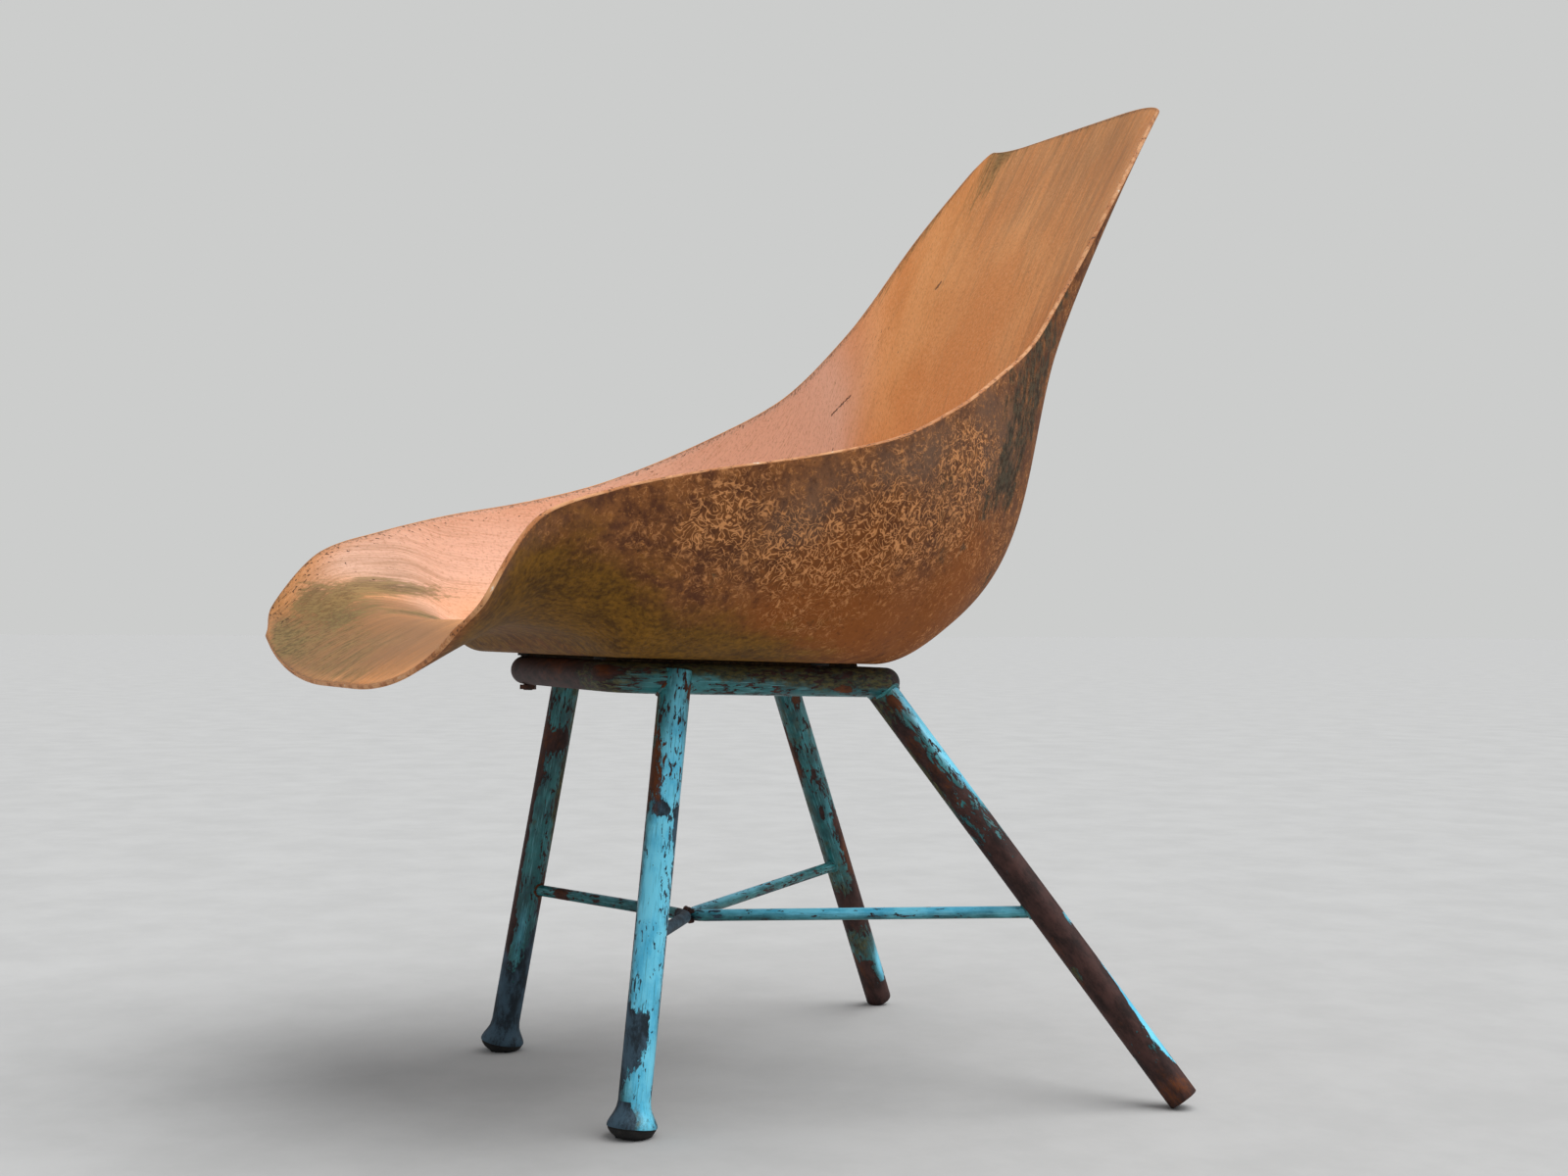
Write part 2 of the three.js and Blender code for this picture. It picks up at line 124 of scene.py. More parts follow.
def make_piece(name, points, faces, materials, fields=None, face_materials=None, sharp=math.radians(40)):
    """A smooth mesh from points in millimetres, with a number or a place kept at each point per field."""
    mesh = bpy.data.meshes.new(name)
    mesh.from_pydata((np.asarray(points) * MM).tolist(), [], [list(face) for face in faces])
    for material in materials:
        mesh.materials.append(material)
    for key, values in (fields or {}).items():
        values = np.asarray(values, float)
        if values.ndim == 1:
            mesh.attributes.new(key, "FLOAT", "POINT").data.foreach_set("value", values)
        else:
            mesh.attributes.new(key, "FLOAT_VECTOR", "POINT").data.foreach_set("vector", values.ravel())
    if face_materials is not None:
        mesh.polygons.foreach_set("material_index", face_materials)
    mesh.polygons.foreach_set("use_smooth", [True] * len(mesh.polygons))
    mesh.set_sharp_from_angle(angle=sharp)
    mesh.update()
    piece = bpy.data.objects.new(name, mesh)
    bpy.context.scene.collection.objects.link(piece)
    return piece


def place_piece(piece, node=None):
    """Fixes a piece to the chair, in place of a CAD node if one is named."""
    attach(piece, "root")
    if node:
        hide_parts(node)


def grid_faces(rows, columns, closed_rows=False, closed_columns=False, start=0):
    """Four-cornered faces over a grid of points."""
    faces = []
    for i in range(rows if closed_rows else rows - 1):
        for j in range(columns if closed_columns else columns - 1):
            a = start + i * columns + j
            b = start + i * columns + (j + 1) % columns
            c = start + ((i + 1) % rows) * columns + (j + 1) % columns
            d = start + ((i + 1) % rows) * columns + j
            faces.append((a, b, c, d))
    return faces


def crosswise(axis, towards):
    """Two directions square to an axis, the first of them as near as it can be to another direction."""
    first = towards - axis * np.dot(axis, towards)
    first /= np.linalg.norm(first)
    return first, np.cross(axis, first)


def spots(along, around, places):
    """A smooth field from spots, each (along, around, length, width in degrees, strength)."""
    field = np.zeros(np.broadcast(along, around).shape)
    for at_along, at_around, length, width, strength in places:
        apart = (around - at_around + 180) % 360 - 180
        field = field + strength * np.exp(-(((along - at_along) / length) ** 2) - (apart / width) ** 2)
    return np.clip(field, -1, 1)


def turned_piece(name, start, end, profile, materials, wear=None, sides=72):
    """A round piece about the line from start to end, from (radius, distance from start) pairs.
    The wear of its skin is kept with it as fields; "around" is 0 at the near side and 90 to its right."""
    axis = (end - start) / np.linalg.norm(end - start)
    near, right = crosswise(axis, NEAR_SIDE)
    radii = np.array([radius for radius, _ in profile], float)[:, None]
    along = np.array([distance for _, distance in profile], float)[:, None]
    around = np.arange(sides)[None, :] * 360 / sides
    around = (around + 180) % 360 - 180
    angle = np.radians(around)
    flat = near[None, None] * np.cos(angle)[..., None] + right[None, None] * np.sin(angle)[..., None]
    points = start + axis * along[..., None] + flat * radii[..., None]
    own = np.stack(
        [radii * np.cos(angle), radii * np.sin(angle), np.broadcast_to(along, (len(profile), sides))], -1
    )
    fields = {"own": own.reshape(-1, 3) * MM}
    for key, places in (wear or {}).items():
        fields[key] = spots(along, around, places).reshape(-1)
    faces = grid_faces(len(profile), sides, closed_columns=True)
    # A face that ends on the axis has three corners.
    on_axis = [radius == 0 for radius, _ in profile for _ in range(sides)]
    faces = [(a, c, d) if on_axis[a] else (a, b, c) if on_axis[d] else (a, b, c, d) for a, b, c, d in faces]
    return make_piece(name, points.reshape(-1, 3), faces, materials, fields)


def swept_piece(name, line, radius, wear, closed, sides, towards, begin=0):
    """A round bar along a line of points. What is measured round it starts from the side given as towards,
    and what is measured along it starts at begin. Wear is spots, or whole fields."""
    line = np.asarray(line, float)
    runs = np.roll(line, -1, 0) - np.roll(line, 1, 0) if closed else np.gradient(line, axis=0)
    runs /= np.linalg.norm(runs, axis=1, keepdims=True)
    lengths = np.concatenate([[0], np.cumsum(np.linalg.norm(np.diff(line, axis=0), axis=1))])
    radii = np.broadcast_to(radius, (len(line),))
    directions = np.broadcast_to(towards, line.shape)
    angle = np.arange(sides) * 2 * math.pi / sides
    cosines, sines = np.cos(angle), np.sin(angle)
    points = []
    own = []
    for centre, run, length, size, direction in zip(line, runs, lengths, radii, directions):
        first, second = crosswise(run, direction)
        points.append(centre + size * (np.outer(cosines, first) + np.outer(sines, second)))
        own.append(np.stack([size * cosines, size * sines, np.full(sides, length + begin)], -1))
    fields = {"own": np.array(own).reshape(-1, 3) * MM}
    around = (np.degrees(angle)[None, :] + 180) % 360 - 180
    for key, places in wear.items():
        spotted = isinstance(places, list)
        fields[key] = spots(lengths[:, None], around, places).reshape(-1) if spotted else places
    faces = grid_faces(len(line), sides, closed, True)
    if not closed:
        last = (len(line) - 1) * sides
        faces += [tuple(range(sides))[::-1], tuple(range(last, last + sides))]
    return make_piece(name, np.array(points).reshape(-1, 3), faces, [PAINT], fields)


# Settings that many nodes share.
SOFT = {"interpolation_type": "SMOOTHSTEP"}
SUM = {"operation": "MULTIPLY_ADD"}
BLEND = {"data_type": "RGBA"}


def add_node(tree, kind, *values, output=0, **settings):
    """Adds a node and sets it. Its inputs in use take the values in order, or by name from a dictionary: each
    is linked, or set to a number, a direction or a colour. Gives back one of its outputs."""
    made = tree.nodes.new("ShaderNode" + kind)
    for key, value in settings.items():
        setattr(made, key, value)
    if values and isinstance(values[0], dict):
        pairs = [(made.inputs[key], value) for key, value in values[0].items()]
    else:
        pairs = zip([socket for socket in made.inputs if socket.enabled], values)
    for socket, value in pairs:
        if isinstance(value, bpy.types.NodeSocket):
            tree.links.new(value, socket)
        else:
            socket.default_value = linear(value) if isinstance(value, str) else value
    outputs = [socket for socket in made.outputs if socket.enabled]
    return outputs[output] if outputs else None


def new_material(name):
    """A material with no nodes yet, and the function that adds nodes to it."""
    material = bpy.data.materials.new(name)
    material.use_nodes = True
    material.node_tree.nodes.clear()
    return material, functools.partial(add_node, material.node_tree)


def kept(add, *names):
    """What make_piece kept at the points, by name."""
    return [add("Attribute", attribute_name=name, output=2) for name in names]


def pattern(add, where, stretch, size, detail=6, roughness=0.6, warp=0.0, seed=0.0):
    """An uneven pattern with marks of about a size in metres, drawn out by a stretch per axis."""
    scaled = add("VectorMath", where, [1 / (size * s) for s in stretch], operation="MULTIPLY")
    moved = add("VectorMath", scaled, (seed, seed * 1.7, seed * 2.3), operation="ADD")
    return add("TexNoise", moved, 1.0, detail, roughness, 2.0, warp, noise_dimensions="3D", normalize=True)


def layer(add, colour, tint, value, start, end, strength=1.0):
    """Lays a tint over a colour: none of it where the value is at its start, its full strength at the end."""
    return add("Mix", add("MapRange", value, start, end, 0, strength, **SOFT), colour, tint, **BLEND)


def tinted(add, colour, tint, share, strength):
    """Lays a tint over a colour by its share at each place."""
    return add("Mix", add("Math", share, strength, operation="MULTIPLY"), colour, tint, **BLEND)


def finish_surface(add, colour, roughness, height, depth, gleam=0.5):
    """Puts colour, roughness, relief (its depth in metres) and strength of reflection on a surface."""
    relief = add("Bump", {"Height": height, "Distance": depth, "Strength": 1.0})
    surface = {"Base Color": colour, "Roughness": roughness, "Normal": relief, "Specular IOR Level": gleam}
    add("OutputMaterial", add("BsdfPrincipled", surface))


def peeling_gloss_paint():
    """Gloss turquoise brushed on steel tube over a dark purple-brown primer. Rust under the film lifts it in
    flakes that are longer along the tube, so it breaks off in ragged patches with a step at their edge, and
    cracks into slivers round them. The patches show primer, dull blue-grey steel or orange rust. Under the
    seat and low down the paint is filmed with olive dirt."""
    material, add = new_material("peeling_gloss_paint_on_steel")
    own = add("Attribute", attribute_name="own", output=1)
    bare, rusty, grime, steel, painted_light = kept(add, "bare", "rusty", "grime", "steel", "painted_light")

    # Patches from 5 to 30 mm long, and slivers about 1 by 5 mm that gather in groups.
    ragged = pattern(add, own, (1, 1, 2.2), 0.009, detail=7, roughness=0.66, warp=0.6)
    fine = pattern(add, own, (1, 1, 2.5), 0.0022, detail=4, seed=3)
    worn = add("Math", fine, 0.22, add("Math", ragged, 1.15, bare, **SUM), **SUM)
    lost = add("MapRange", worn, 0.985, 1.005, **SOFT)
    slivers = pattern(add, own, (1, 1, 3.4), 0.0026, detail=4, warp=0.5, seed=11)
    groups = pattern(add, own, (1, 1, 2), 0.02, detail=4, seed=41)
    splitting = add("Math", groups, 0.5, add("Math", bare, 0.2, slivers, **SUM), **SUM)
    cracked = add("MapRange", splitting, 0.85, 0.865, **SOFT)
    gone = add("Math", lost, cracked, operation="MAXIMUM")

    # The paint: a shaded copy of the turquoise, which is painted shade, and a lit copy, which is a painted
    # highlight where light falls. Brush strokes 1.4 mm broad, fading in patches of 20 mm, dirt in spots of 11
    # mm.
    strokes = pattern(add, own, (1, 1, 16), 0.0014, detail=4, seed=7)
    faded = pattern(add, own, (1, 1, 1.6), 0.02, detail=6, roughness=0.65, seed=5)
    shade = layer(add, "0c4b4e", "24797a", faded, 0.35, 0.66)
    lit_paint = layer(add, "4ac0e8", "79e2ff", faded, 0.3, 0.6)
    # Painted light: the lit copy goes where the fifth field read above is high, on the sides that face the
    # light.
    paint = layer(add, shade, lit_paint, add("Math", faded, 0.5, painted_light, **SUM), 0.3, 0.85)
    paint = layer(add, paint, "8fdcee", strokes, 0.5, 0.75, 0.4)
    paint = layer(add, paint, "1a6472", strokes, 0.48, 0.3, 0.45)
    dirt = pattern(add, own, (1, 1, 1.5), 0.011, detail=8, roughness=0.75, seed=9)
    dirty = add("MapRange", add("Math", grime, 0.62, dirt, **SUM), 0.66, 0.98, **SOFT)
    mud = layer(add, "2b2811", "5d5220", fine, 0.35, 0.65)
    paint = tinted(add, paint, mud, dirty, 0.93)
    paint = layer(add, paint, "0f3b44", worn, 0.93, 0.985, 0.5)

    # What is under it: primer, steel where the field says so, and rust in blooms of 6 mm.
    ground = pattern(add, own, (1, 1, 2), 0.012, detail=9, roughness=0.75, seed=17)
    under = layer(add, "241310", "4c302b", ground, 0.35, 0.65)
    scale = layer(add, "1d2a33", "3f5868", ground, 0.4, 0.6)
    under = layer(add, under, scale, add("Math", steel, 0.9, ground, **SUM), 0.8, 1.1)
    bloom = pattern(add, own, (1, 1, 1.9), 0.006, detail=9, roughness=0.75, seed=23)
    rust = layer(add, "331708", "703a14", ground, 0.32, 0.68)
    under = layer(add, under, rust, add("Math", rusty, 0.55, bloom, **SUM), 0.66, 0.92)

    colour = add("Mix", gone, paint, under, **BLEND)
    shine = add("Mix", gone, add("MapRange", dirty, 0.0, 1.0, 0.34, 0.75), 0.65)
    film = add("Math", 1.0, gone, operation="SUBTRACT")
    height = add("Math", strokes, 0.2, add("Math", ground, 0.5, film, **SUM), **SUM)
    finish_surface(add, colour, shine, height, 0.0005, add("Mix", gone, 0.5, 0.3))
    return material


def curled_marks(add, where, size, seed):
    """Short curled lines, the level lines of an uneven pattern: 0 beside a line and 0.09 on it."""
    hills = pattern(add, where, (1, 1, 1), size, detail=1.5, roughness=0.4, warp=0.6, seed=seed)
    return add("Math", hills, 0.09, operation="PINGPONG")


def weathered_laminate():
    """Polyester and chopped glass strands laid up by hand, the rough back of the moulding. Sun and rain have
    eaten the resin, so the strands lie open in clumps of short curled lines, orange where they are clean,
    with brown dirt settled between them. Elsewhere the dirt lies grey. There is olive algae low in front,
    and grey-black mould up the back. Dirt fills its pores, so it hardly shines."""
    material, add = new_material("weathered_glass_fibre_laminate")
    here = add("TexCoord", output=3)
    olive, soot, strands, warm, dull = kept(add, "olive", "soot", "strands", "warm", "grey")
    cloud = pattern(add, here, (1, 1, 1), 0.05, detail=5, seed=2)
    blotch = pattern(add, here, (1, 1, 1), 0.016, detail=8, roughness=0.72, seed=8)
    broken = pattern(add, here, (1, 1, 1), 0.005, detail=4, roughness=0.65, seed=37)
    speck = pattern(add, here, (1, 1, 1.6), 0.0035, detail=4, roughness=0.65, seed=31)

    # Brown, with greyer and more orange areas 30 to 60 mm across.
    colour = layer(add, "623a25", "9b6236", blotch, 0.36, 0.64)
    colour = layer(add, colour, "7d614e", add("Math", cloud, -0.9, dull, **SUM), -0.5, 0.45, 0.75)
    glow = add("Math", cloud, 0.9, add("Math", blotch, 0.7, warm, **SUM), **SUM)
    colour = layer(add, colour, "9c5722", glow, 0.7, 1.75, 0.9)

    # Strands 1 mm broad that curl within 6 mm, in clumps, with dark dirt between them.
    first, second = curled_marks(add, here, 0.011, 0), curled_marks(add, here, 0.0085, 6)
    hairs = add("Math", first, second, operation="MAXIMUM")
    clumps = add("Math", cloud, 0.9, add("Math", strands, 0.4, broken, **SUM), **SUM)
    clumps = add("MapRange", add("Math", blotch, 0.7, clumps, **SUM), 1.3, 1.75, **SOFT)
    lit = add("Math", add("MapRange", hairs, 0.062, 0.08, **SOFT), clumps, operation="MULTIPLY")
    sunk = add("Math", add("MapRange", hairs, 0.06, 0.035, **SOFT), clumps, operation="MULTIPLY")
    colour = tinted(add, colour, "4c2d1a", sunk, 0.4)
    colour = tinted(add, colour, "eda469", lit, 0.85)
    colour = layer(add, colour, "3c2417", broken, 0.45, 0.28, 0.5)
    colour = layer(add, colour, "c98346", broken, 0.55, 0.72, 0.55)

    # Algae in soft smears along the seat.
    smears = pattern(add, here, (1, 2, 1), 0.018, detail=4, roughness=0.55, seed=12)
    wet = add("Math", blotch, 0.6, add("Math", smears, 0.8, olive, **SUM), **SUM)
    wet = add("MapRange", wet, 0.85, 1.55, 0, 0.92, **SOFT)
    mottled = add("Math", speck, 0.75, add("Math", smears, 0.7, broken, **SUM), **SUM)
    algae = layer(add, "4f3409", "8c6118", mottled, 0.95, 1.5)
    colour = add("Mix", wet, colour, algae, **BLEND)

    # Mould in blots that run down the back.
    mould = pattern(add, here, (1, 1, 2.2), 0.011, detail=9, roughness=0.75, warp=0.2, seed=19)
    black = add("Math", blotch, 0.6, add("Math", soot, 0.3, mould, **SUM), **SUM)
    sooty = layer(add, "25261f", "4d4b3c", speck, 0.4, 0.6)
    colour = layer(add, colour, sooty, black, 0.97, 1.16, 0.85)
    pits = add("MapRange", speck, 0.66, 0.72, **SOFT)
    colour = tinted(add, colour, "25170e", pits, 0.7)

    height = add("Math", pits, -0.5, add("Math", broken, 0.8, lit, **SUM), **SUM)
    finish_surface(add, colour, add("MapRange", wet, 0.0, 1.0, 0.75, 0.62), height, 0.0006, 0.16)
    return material


# Deep scratches inside the seat: from and to, in metres across and along its skin, and how broad.
SCRATCHES = [((-0.219, 0.661), (-0.193, 0.6995), 0.0012), ((-0.113, 0.884), (-0.109, 0.896), 0.002)]


def scratch(add, place, start, end, breadth):
    """1 along a line between two places, 0 away from it, with ragged edges."""
    run = Vector(end) - Vector(start)
    from_start = add("VectorMath", place, (*start, 0), operation="SUBTRACT")
    flat = add("VectorMath", from_start, (1, 1, 0), operation="MULTIPLY")
    share = add("VectorMath", flat, (*run / run.length_squared, 0), operation="DOT_PRODUCT")
    share = add("Math", share, 1.0, operation="MULTIPLY", use_clamp=True)
    nearest = add("VectorMath", {0: (*run, 0), "Scale": share}, operation="SCALE")
    away = add("VectorMath", flat, nearest, operation="DISTANCE")
    ragged = add("Math", pattern(add, place, (1, 2, 1), 0.003, detail=4), breadth * 2.4, away, **SUM)
    return add("MapRange", ragged, breadth * 1.9, breadth * 1.5, **SOFT)


def chalked_gel_coat():
    """The mould side of the laminate: a smooth salmon-orange gel coat. It has chalked pale, is rubbed in fine
    lines along the seat, and is pricked and scratched where dirt holds. A pale rose over the far wall and the
    lip is partly that chalking and partly a painted highlight where light falls, and the lip is darkened in
    part with painted shade. Olive dirt is brushed into the lip and the top edge in dark lines, and grime sits
    in specks by the rim."""
    material, add = new_material("chalked_gel_coat")
    here = add("TexCoord", output=3)
    place = add("Attribute", attribute_name="place", output=1)
    names = ("olive", "brushed", "grey", "pink", "specks", "edge")
    olive, brushed, grey, pink, specks, edge = kept(add, *names)

    # Chalked in clouds of 80 mm, and rubbed in lines 1 to 6 mm broad and twenty times as long. The pale rose
    # layer is partly chalking and partly a painted highlight on the lit far wall and lip.
    cloud = pattern(add, place, (1, 1.6, 1), 0.08, detail=5, roughness=0.55, seed=4)
    blotch = pattern(add, place, (1, 1.5, 1), 0.02, detail=8, roughness=0.72, seed=10)
    grain = pattern(add, place, (1, 1.5, 1), 0.0022, detail=4, roughness=0.7, seed=33)
    fine = pattern(add, place, (1, 30, 1), 0.0014, detail=5, roughness=0.65, seed=6)
    broad = pattern(add, place, (1, 22, 1), 0.007, detail=6, roughness=0.7, seed=27)
    colour = layer(add, "e3934f", "efa563", cloud, 0.35, 0.65)
    colour = layer(add, colour, "f2c1a6", add("Math", cloud, 0.3, pink, **SUM), 0.15, 0.95)
    colour = layer(add, colour, "a9703f", grain, 0.52, 0.3, 0.45)
    colour = layer(add, colour, "f3c49b", grain, 0.5, 0.72, 0.35)
    rubbed = add("Math", grey, 0.3, add("Math", broad, 0.6, fine, **SUM), **SUM)
    colour = layer(add, colour, "ad7a48", rubbed, 0.79, 1.15, 0.55)
    # In the lip this darkening, and the rubbed lines above, are in part painted shade over a band that the
    # lip's shape lights strongly.
    dulled_and_shaded = add("Math", cloud, 0.4, add("Math", broad, 1.1, grey, **SUM), **SUM)
    colour = layer(add, colour, "855f3d", dulled_and_shaded, 0.8, 2.1, 0.85)

    # Olive dirt in brush lines 3 mm broad, which follow the seat, or run level in the lip.
    follow = pattern(add, place, (1, 14, 1), 0.003, detail=9, roughness=0.75, warp=0.2, seed=15)
    level = pattern(add, here, (2, 16, 1), 0.0026, detail=8, roughness=0.72, seed=45)
    gathered = add("Math", blotch, 0.45, add("Math", olive, 0.45, follow, **SUM), **SUM)
    dirty = add("MapRange", gathered, 0.9, 1.2, **SOFT)
    in_band = add("Math", blotch, 0.5, add("Math", brushed, 0.45, level, **SUM), **SUM)
    dirty = add("Math", dirty, add("MapRange", in_band, 0.92, 1.15, **SOFT), operation="MAXIMUM")
    dirt = layer(add, "4f4a2a", "867547", level, 0.4, 0.6)
    colour = tinted(add, colour, dirt, dirty, 0.75)

    # Specks under 2 mm, thick by the rim, and the deep scratches.
    colour = layer(add, colour, "4a3626", add("Math", grain, 1.3, edge, **SUM), 1.45, 1.8, 0.75)
    pits = pattern(add, place, (1, 1.9, 1), 0.003, detail=4, warp=0.5, seed=21)
    pricked = add("Math", specks, 0.12, add("Math", blotch, 0.25, pits, **SUM), **SUM)
    pitted = add("MapRange", pricked, 0.835, 0.86, **SOFT)
    for start, end, breadth in SCRATCHES:
        pitted = add("Math", pitted, scratch(add, place, start, end, breadth), operation="MAXIMUM")
    colour = tinted(add, colour, "43291a", pitted, 0.8)
    height = add("Math", broad, 0.8, add("Math", pitted, -1.5, fine, **SUM), **SUM)
    finish_surface(add, colour, add("MapRange", dirty, 0.0, 1.0, 0.52, 0.75), height, 0.0003, 0.35)
    return material


def trimmed_laminate_edge():
    """The sawn edge of the laminate, where pale glass and resin lie open and the orange has chipped off."""
    material, add = new_material("trimmed_laminate_edge")
    place = add("Attribute", attribute_name="place", output=1)
    chip = pattern(add, place, (1, 2.4, 1), 0.011, detail=7, roughness=0.7, seed=5)
    fine = pattern(add, place, (1, 2, 1), 0.002, detail=4, seed=9)
    colour = layer(add, "bd7947", "dda16f", chip, 0.42, 0.58)
    colour = layer(add, colour, "e8d6bf", chip, 0.63, 0.66)
    colour = layer(add, colour, "543722", add("Math", chip, 0.8, fine, **SUM), 0.82, 0.7, 0.85)
    finish_surface(add, colour, 0.65, add("Math", fine, 0.5, chip, **SUM), 0.0006, 0.35)
    return material


def rusted_steel():
    """Plain steel fixings left bare outdoors: brown rust with darker scale."""
    material, add = new_material("rusted_steel")
    here = add("TexCoord", output=3)
    scale = pattern(add, here, (1, 1, 1), 0.004, detail=8, roughness=0.7)
    grain = pattern(add, here, (1, 1, 1), 0.001, detail=4, seed=4)
    colour = layer(add, "22130d", "55290f", scale, 0.4, 0.62)
    colour = layer(add, colour, "8a4a1e", grain, 0.6, 0.7, 0.6)
    finish_surface(add, colour, 0.75, add("Math", grain, 0.5, scale, **SUM), 0.0004)
    return material


def hardened_rubber():
    """Moulded black rubber gone hard and dusty, greyer where it has scuffed on the ground."""
    material, add = new_material("hardened_rubber")
    dust = pattern(add, add("TexCoord", output=3), (1, 1, 1), 0.006, detail=8, roughness=0.7)
    colour = layer(add, "100f0e", "35302b", dust, 0.45, 0.75, 0.6)
    finish_surface(add, colour, 0.85, dust, 0.0004)
    return material


def painted_gap_shadow():
    """Painted shadow: a nearly black, crumbly fill with no shine, put in the gap under the seat where shade
    falls.
    """
    material, add = new_material("painted_gap_shadow")
    fill_mottle = pattern(add, add("TexCoord", output=3), (1, 1, 1), 0.003, detail=8, roughness=0.75)
    colour = layer(add, "17110b", "3a2a18", fill_mottle, 0.4, 0.65)
    finish_surface(add, colour, 0.95, fill_mottle, 0.001, 0.1)
    return material


PAINT = peeling_gloss_paint()
OUTSIDE = weathered_laminate()
INSIDE = chalked_gel_coat()
RIM = trimmed_laminate_edge()
STEEL = rusted_steel()
RUBBER = hardened_rubber()
# Painted shadow for the gap under the seat.
GAP_SHADOW = painted_gap_shadow()


# Lip to top: rim (half width, place, height), middle (place, height), flat half width, sweep, lean.
STATIONS = [
    ((230, -317, 24), (-323, -15), 40, 55, 3),
    ((260, -304, 52), (-273, 18), 70, 65, 3),
    ((255, -265, 105), (-227, 37), 100, 70, 6),
    ((252, -212, 126), (-182, 31), 125, 73, 6),
    ((263, -143, 145), (-150, SHELL_BASE), 140, 73, 5),
    ((273, -71, 160), (-60, SHELL_BASE), 140, 72, 4),
    ((275, 7, 181), (30, SHELL_BASE), 135, 70, 3),
    ((259, 75, 211), (98, SHELL_BASE), 107, 68, 4),
    ((234, 127, 240), (165, 44), 95, 71, 4),
    ((206, 182, 276), (221, 101), 85, 71, 3),
    ((178, 241, 342), (246, 222), 75, 70, 0),
    ((158, 309, 440), (295, 359), 70, 76, -4),
    ((130, 375, 530), (381, 532), 70, 81, -8),
]
TOP = len(STATIONS) - 1
# How much of the way from the middle to the rim is floor.
FLOOR_SHARE = 3 / 13
# The rim stands out this far from the cut, in this many steps, and dirt holds this near to it.
RIM_BULGE = 1.3
RIM_STEPS = 6
RIM_DIRT = 9


def run_through(values, place):
    """A smooth run through one value per station that never passes a peak or hollow of its own."""
    values = np.asarray(values, float)
    steps = np.diff(values)
    slopes = np.zeros(len(values))
    for k in range(len(values)):
        before, after = steps[max(k - 1, 0)], steps[min(k, len(steps) - 1)]
        if before * after > 0:
            slopes[k] = 2 * before * after / (before + after)
    k = np.clip(np.floor(place).astype(int), 0, len(steps) - 1)
    t = place - k
    leaving = t * (1 - t) ** 2 * slopes[k]
    arriving = t * t * (1 - t) * slopes[k + 1]
    return values[k] + steps[k] * t * t * (3 - 2 * t) + leaving - arriving


def shell_skin(place, across):
    """Points of the shell's outer skin, at a place from 0 at the lip to 12 at the top, and across from -1 at
    the right rim to 1 at the left one."""
    rim_x, rim_y, rim_z = (run_through([s[0][k] for s in STATIONS], place) for k in range(3))
    middle_y, middle_z = (run_through([s[1][k] for s in STATIONS], place) for k in range(2))
    flat, sweep, lean = (run_through([s[k] for s in STATIONS], place) for k in (2, 3, 4))
    sweep = np.radians(sweep)
    side, share = np.sign(across), np.abs(across)
    up_wall = np.clip((share - FLOOR_SHARE) / (1 - FLOOR_SHARE), 0, 1)
    out = np.sin(sweep * up_wall) / np.sin(sweep)
    up = (1 - np.cos(sweep * up_wall)) / (1 - np.cos(sweep))
    x = side * np.where(share <= FLOOR_SHARE, flat * share / FLOOR_SHARE, flat + (rim_x - flat) * out)
    y = middle_y + (rim_y - middle_y) * up
    z = middle_z + (rim_z - middle_z) * up + side * lean * up_wall**2
    return np.stack([x, y, z], -1)


def walked(points, axis):
    """How far each point of a grid is from its first row or column, along the surface."""
    gaps = np.linalg.norm(np.diff(points, axis=axis), axis=-1)
    start = np.zeros_like(np.take(gaps, [0], axis))
    return np.concatenate([start, np.cumsum(gaps, axis)], axis)


def patches(place, across, places):
    """A smooth field from spots, each (place, across, length, width, strength)."""
    field = np.zeros(place.shape)
    for at_place, at_across, length, width, strength in places:
        away = ((place - at_place) / length) ** 2 + ((across - at_across) / width) ** 2
        field += strength * np.exp(-away)
    return np.clip(field, -1, 1)


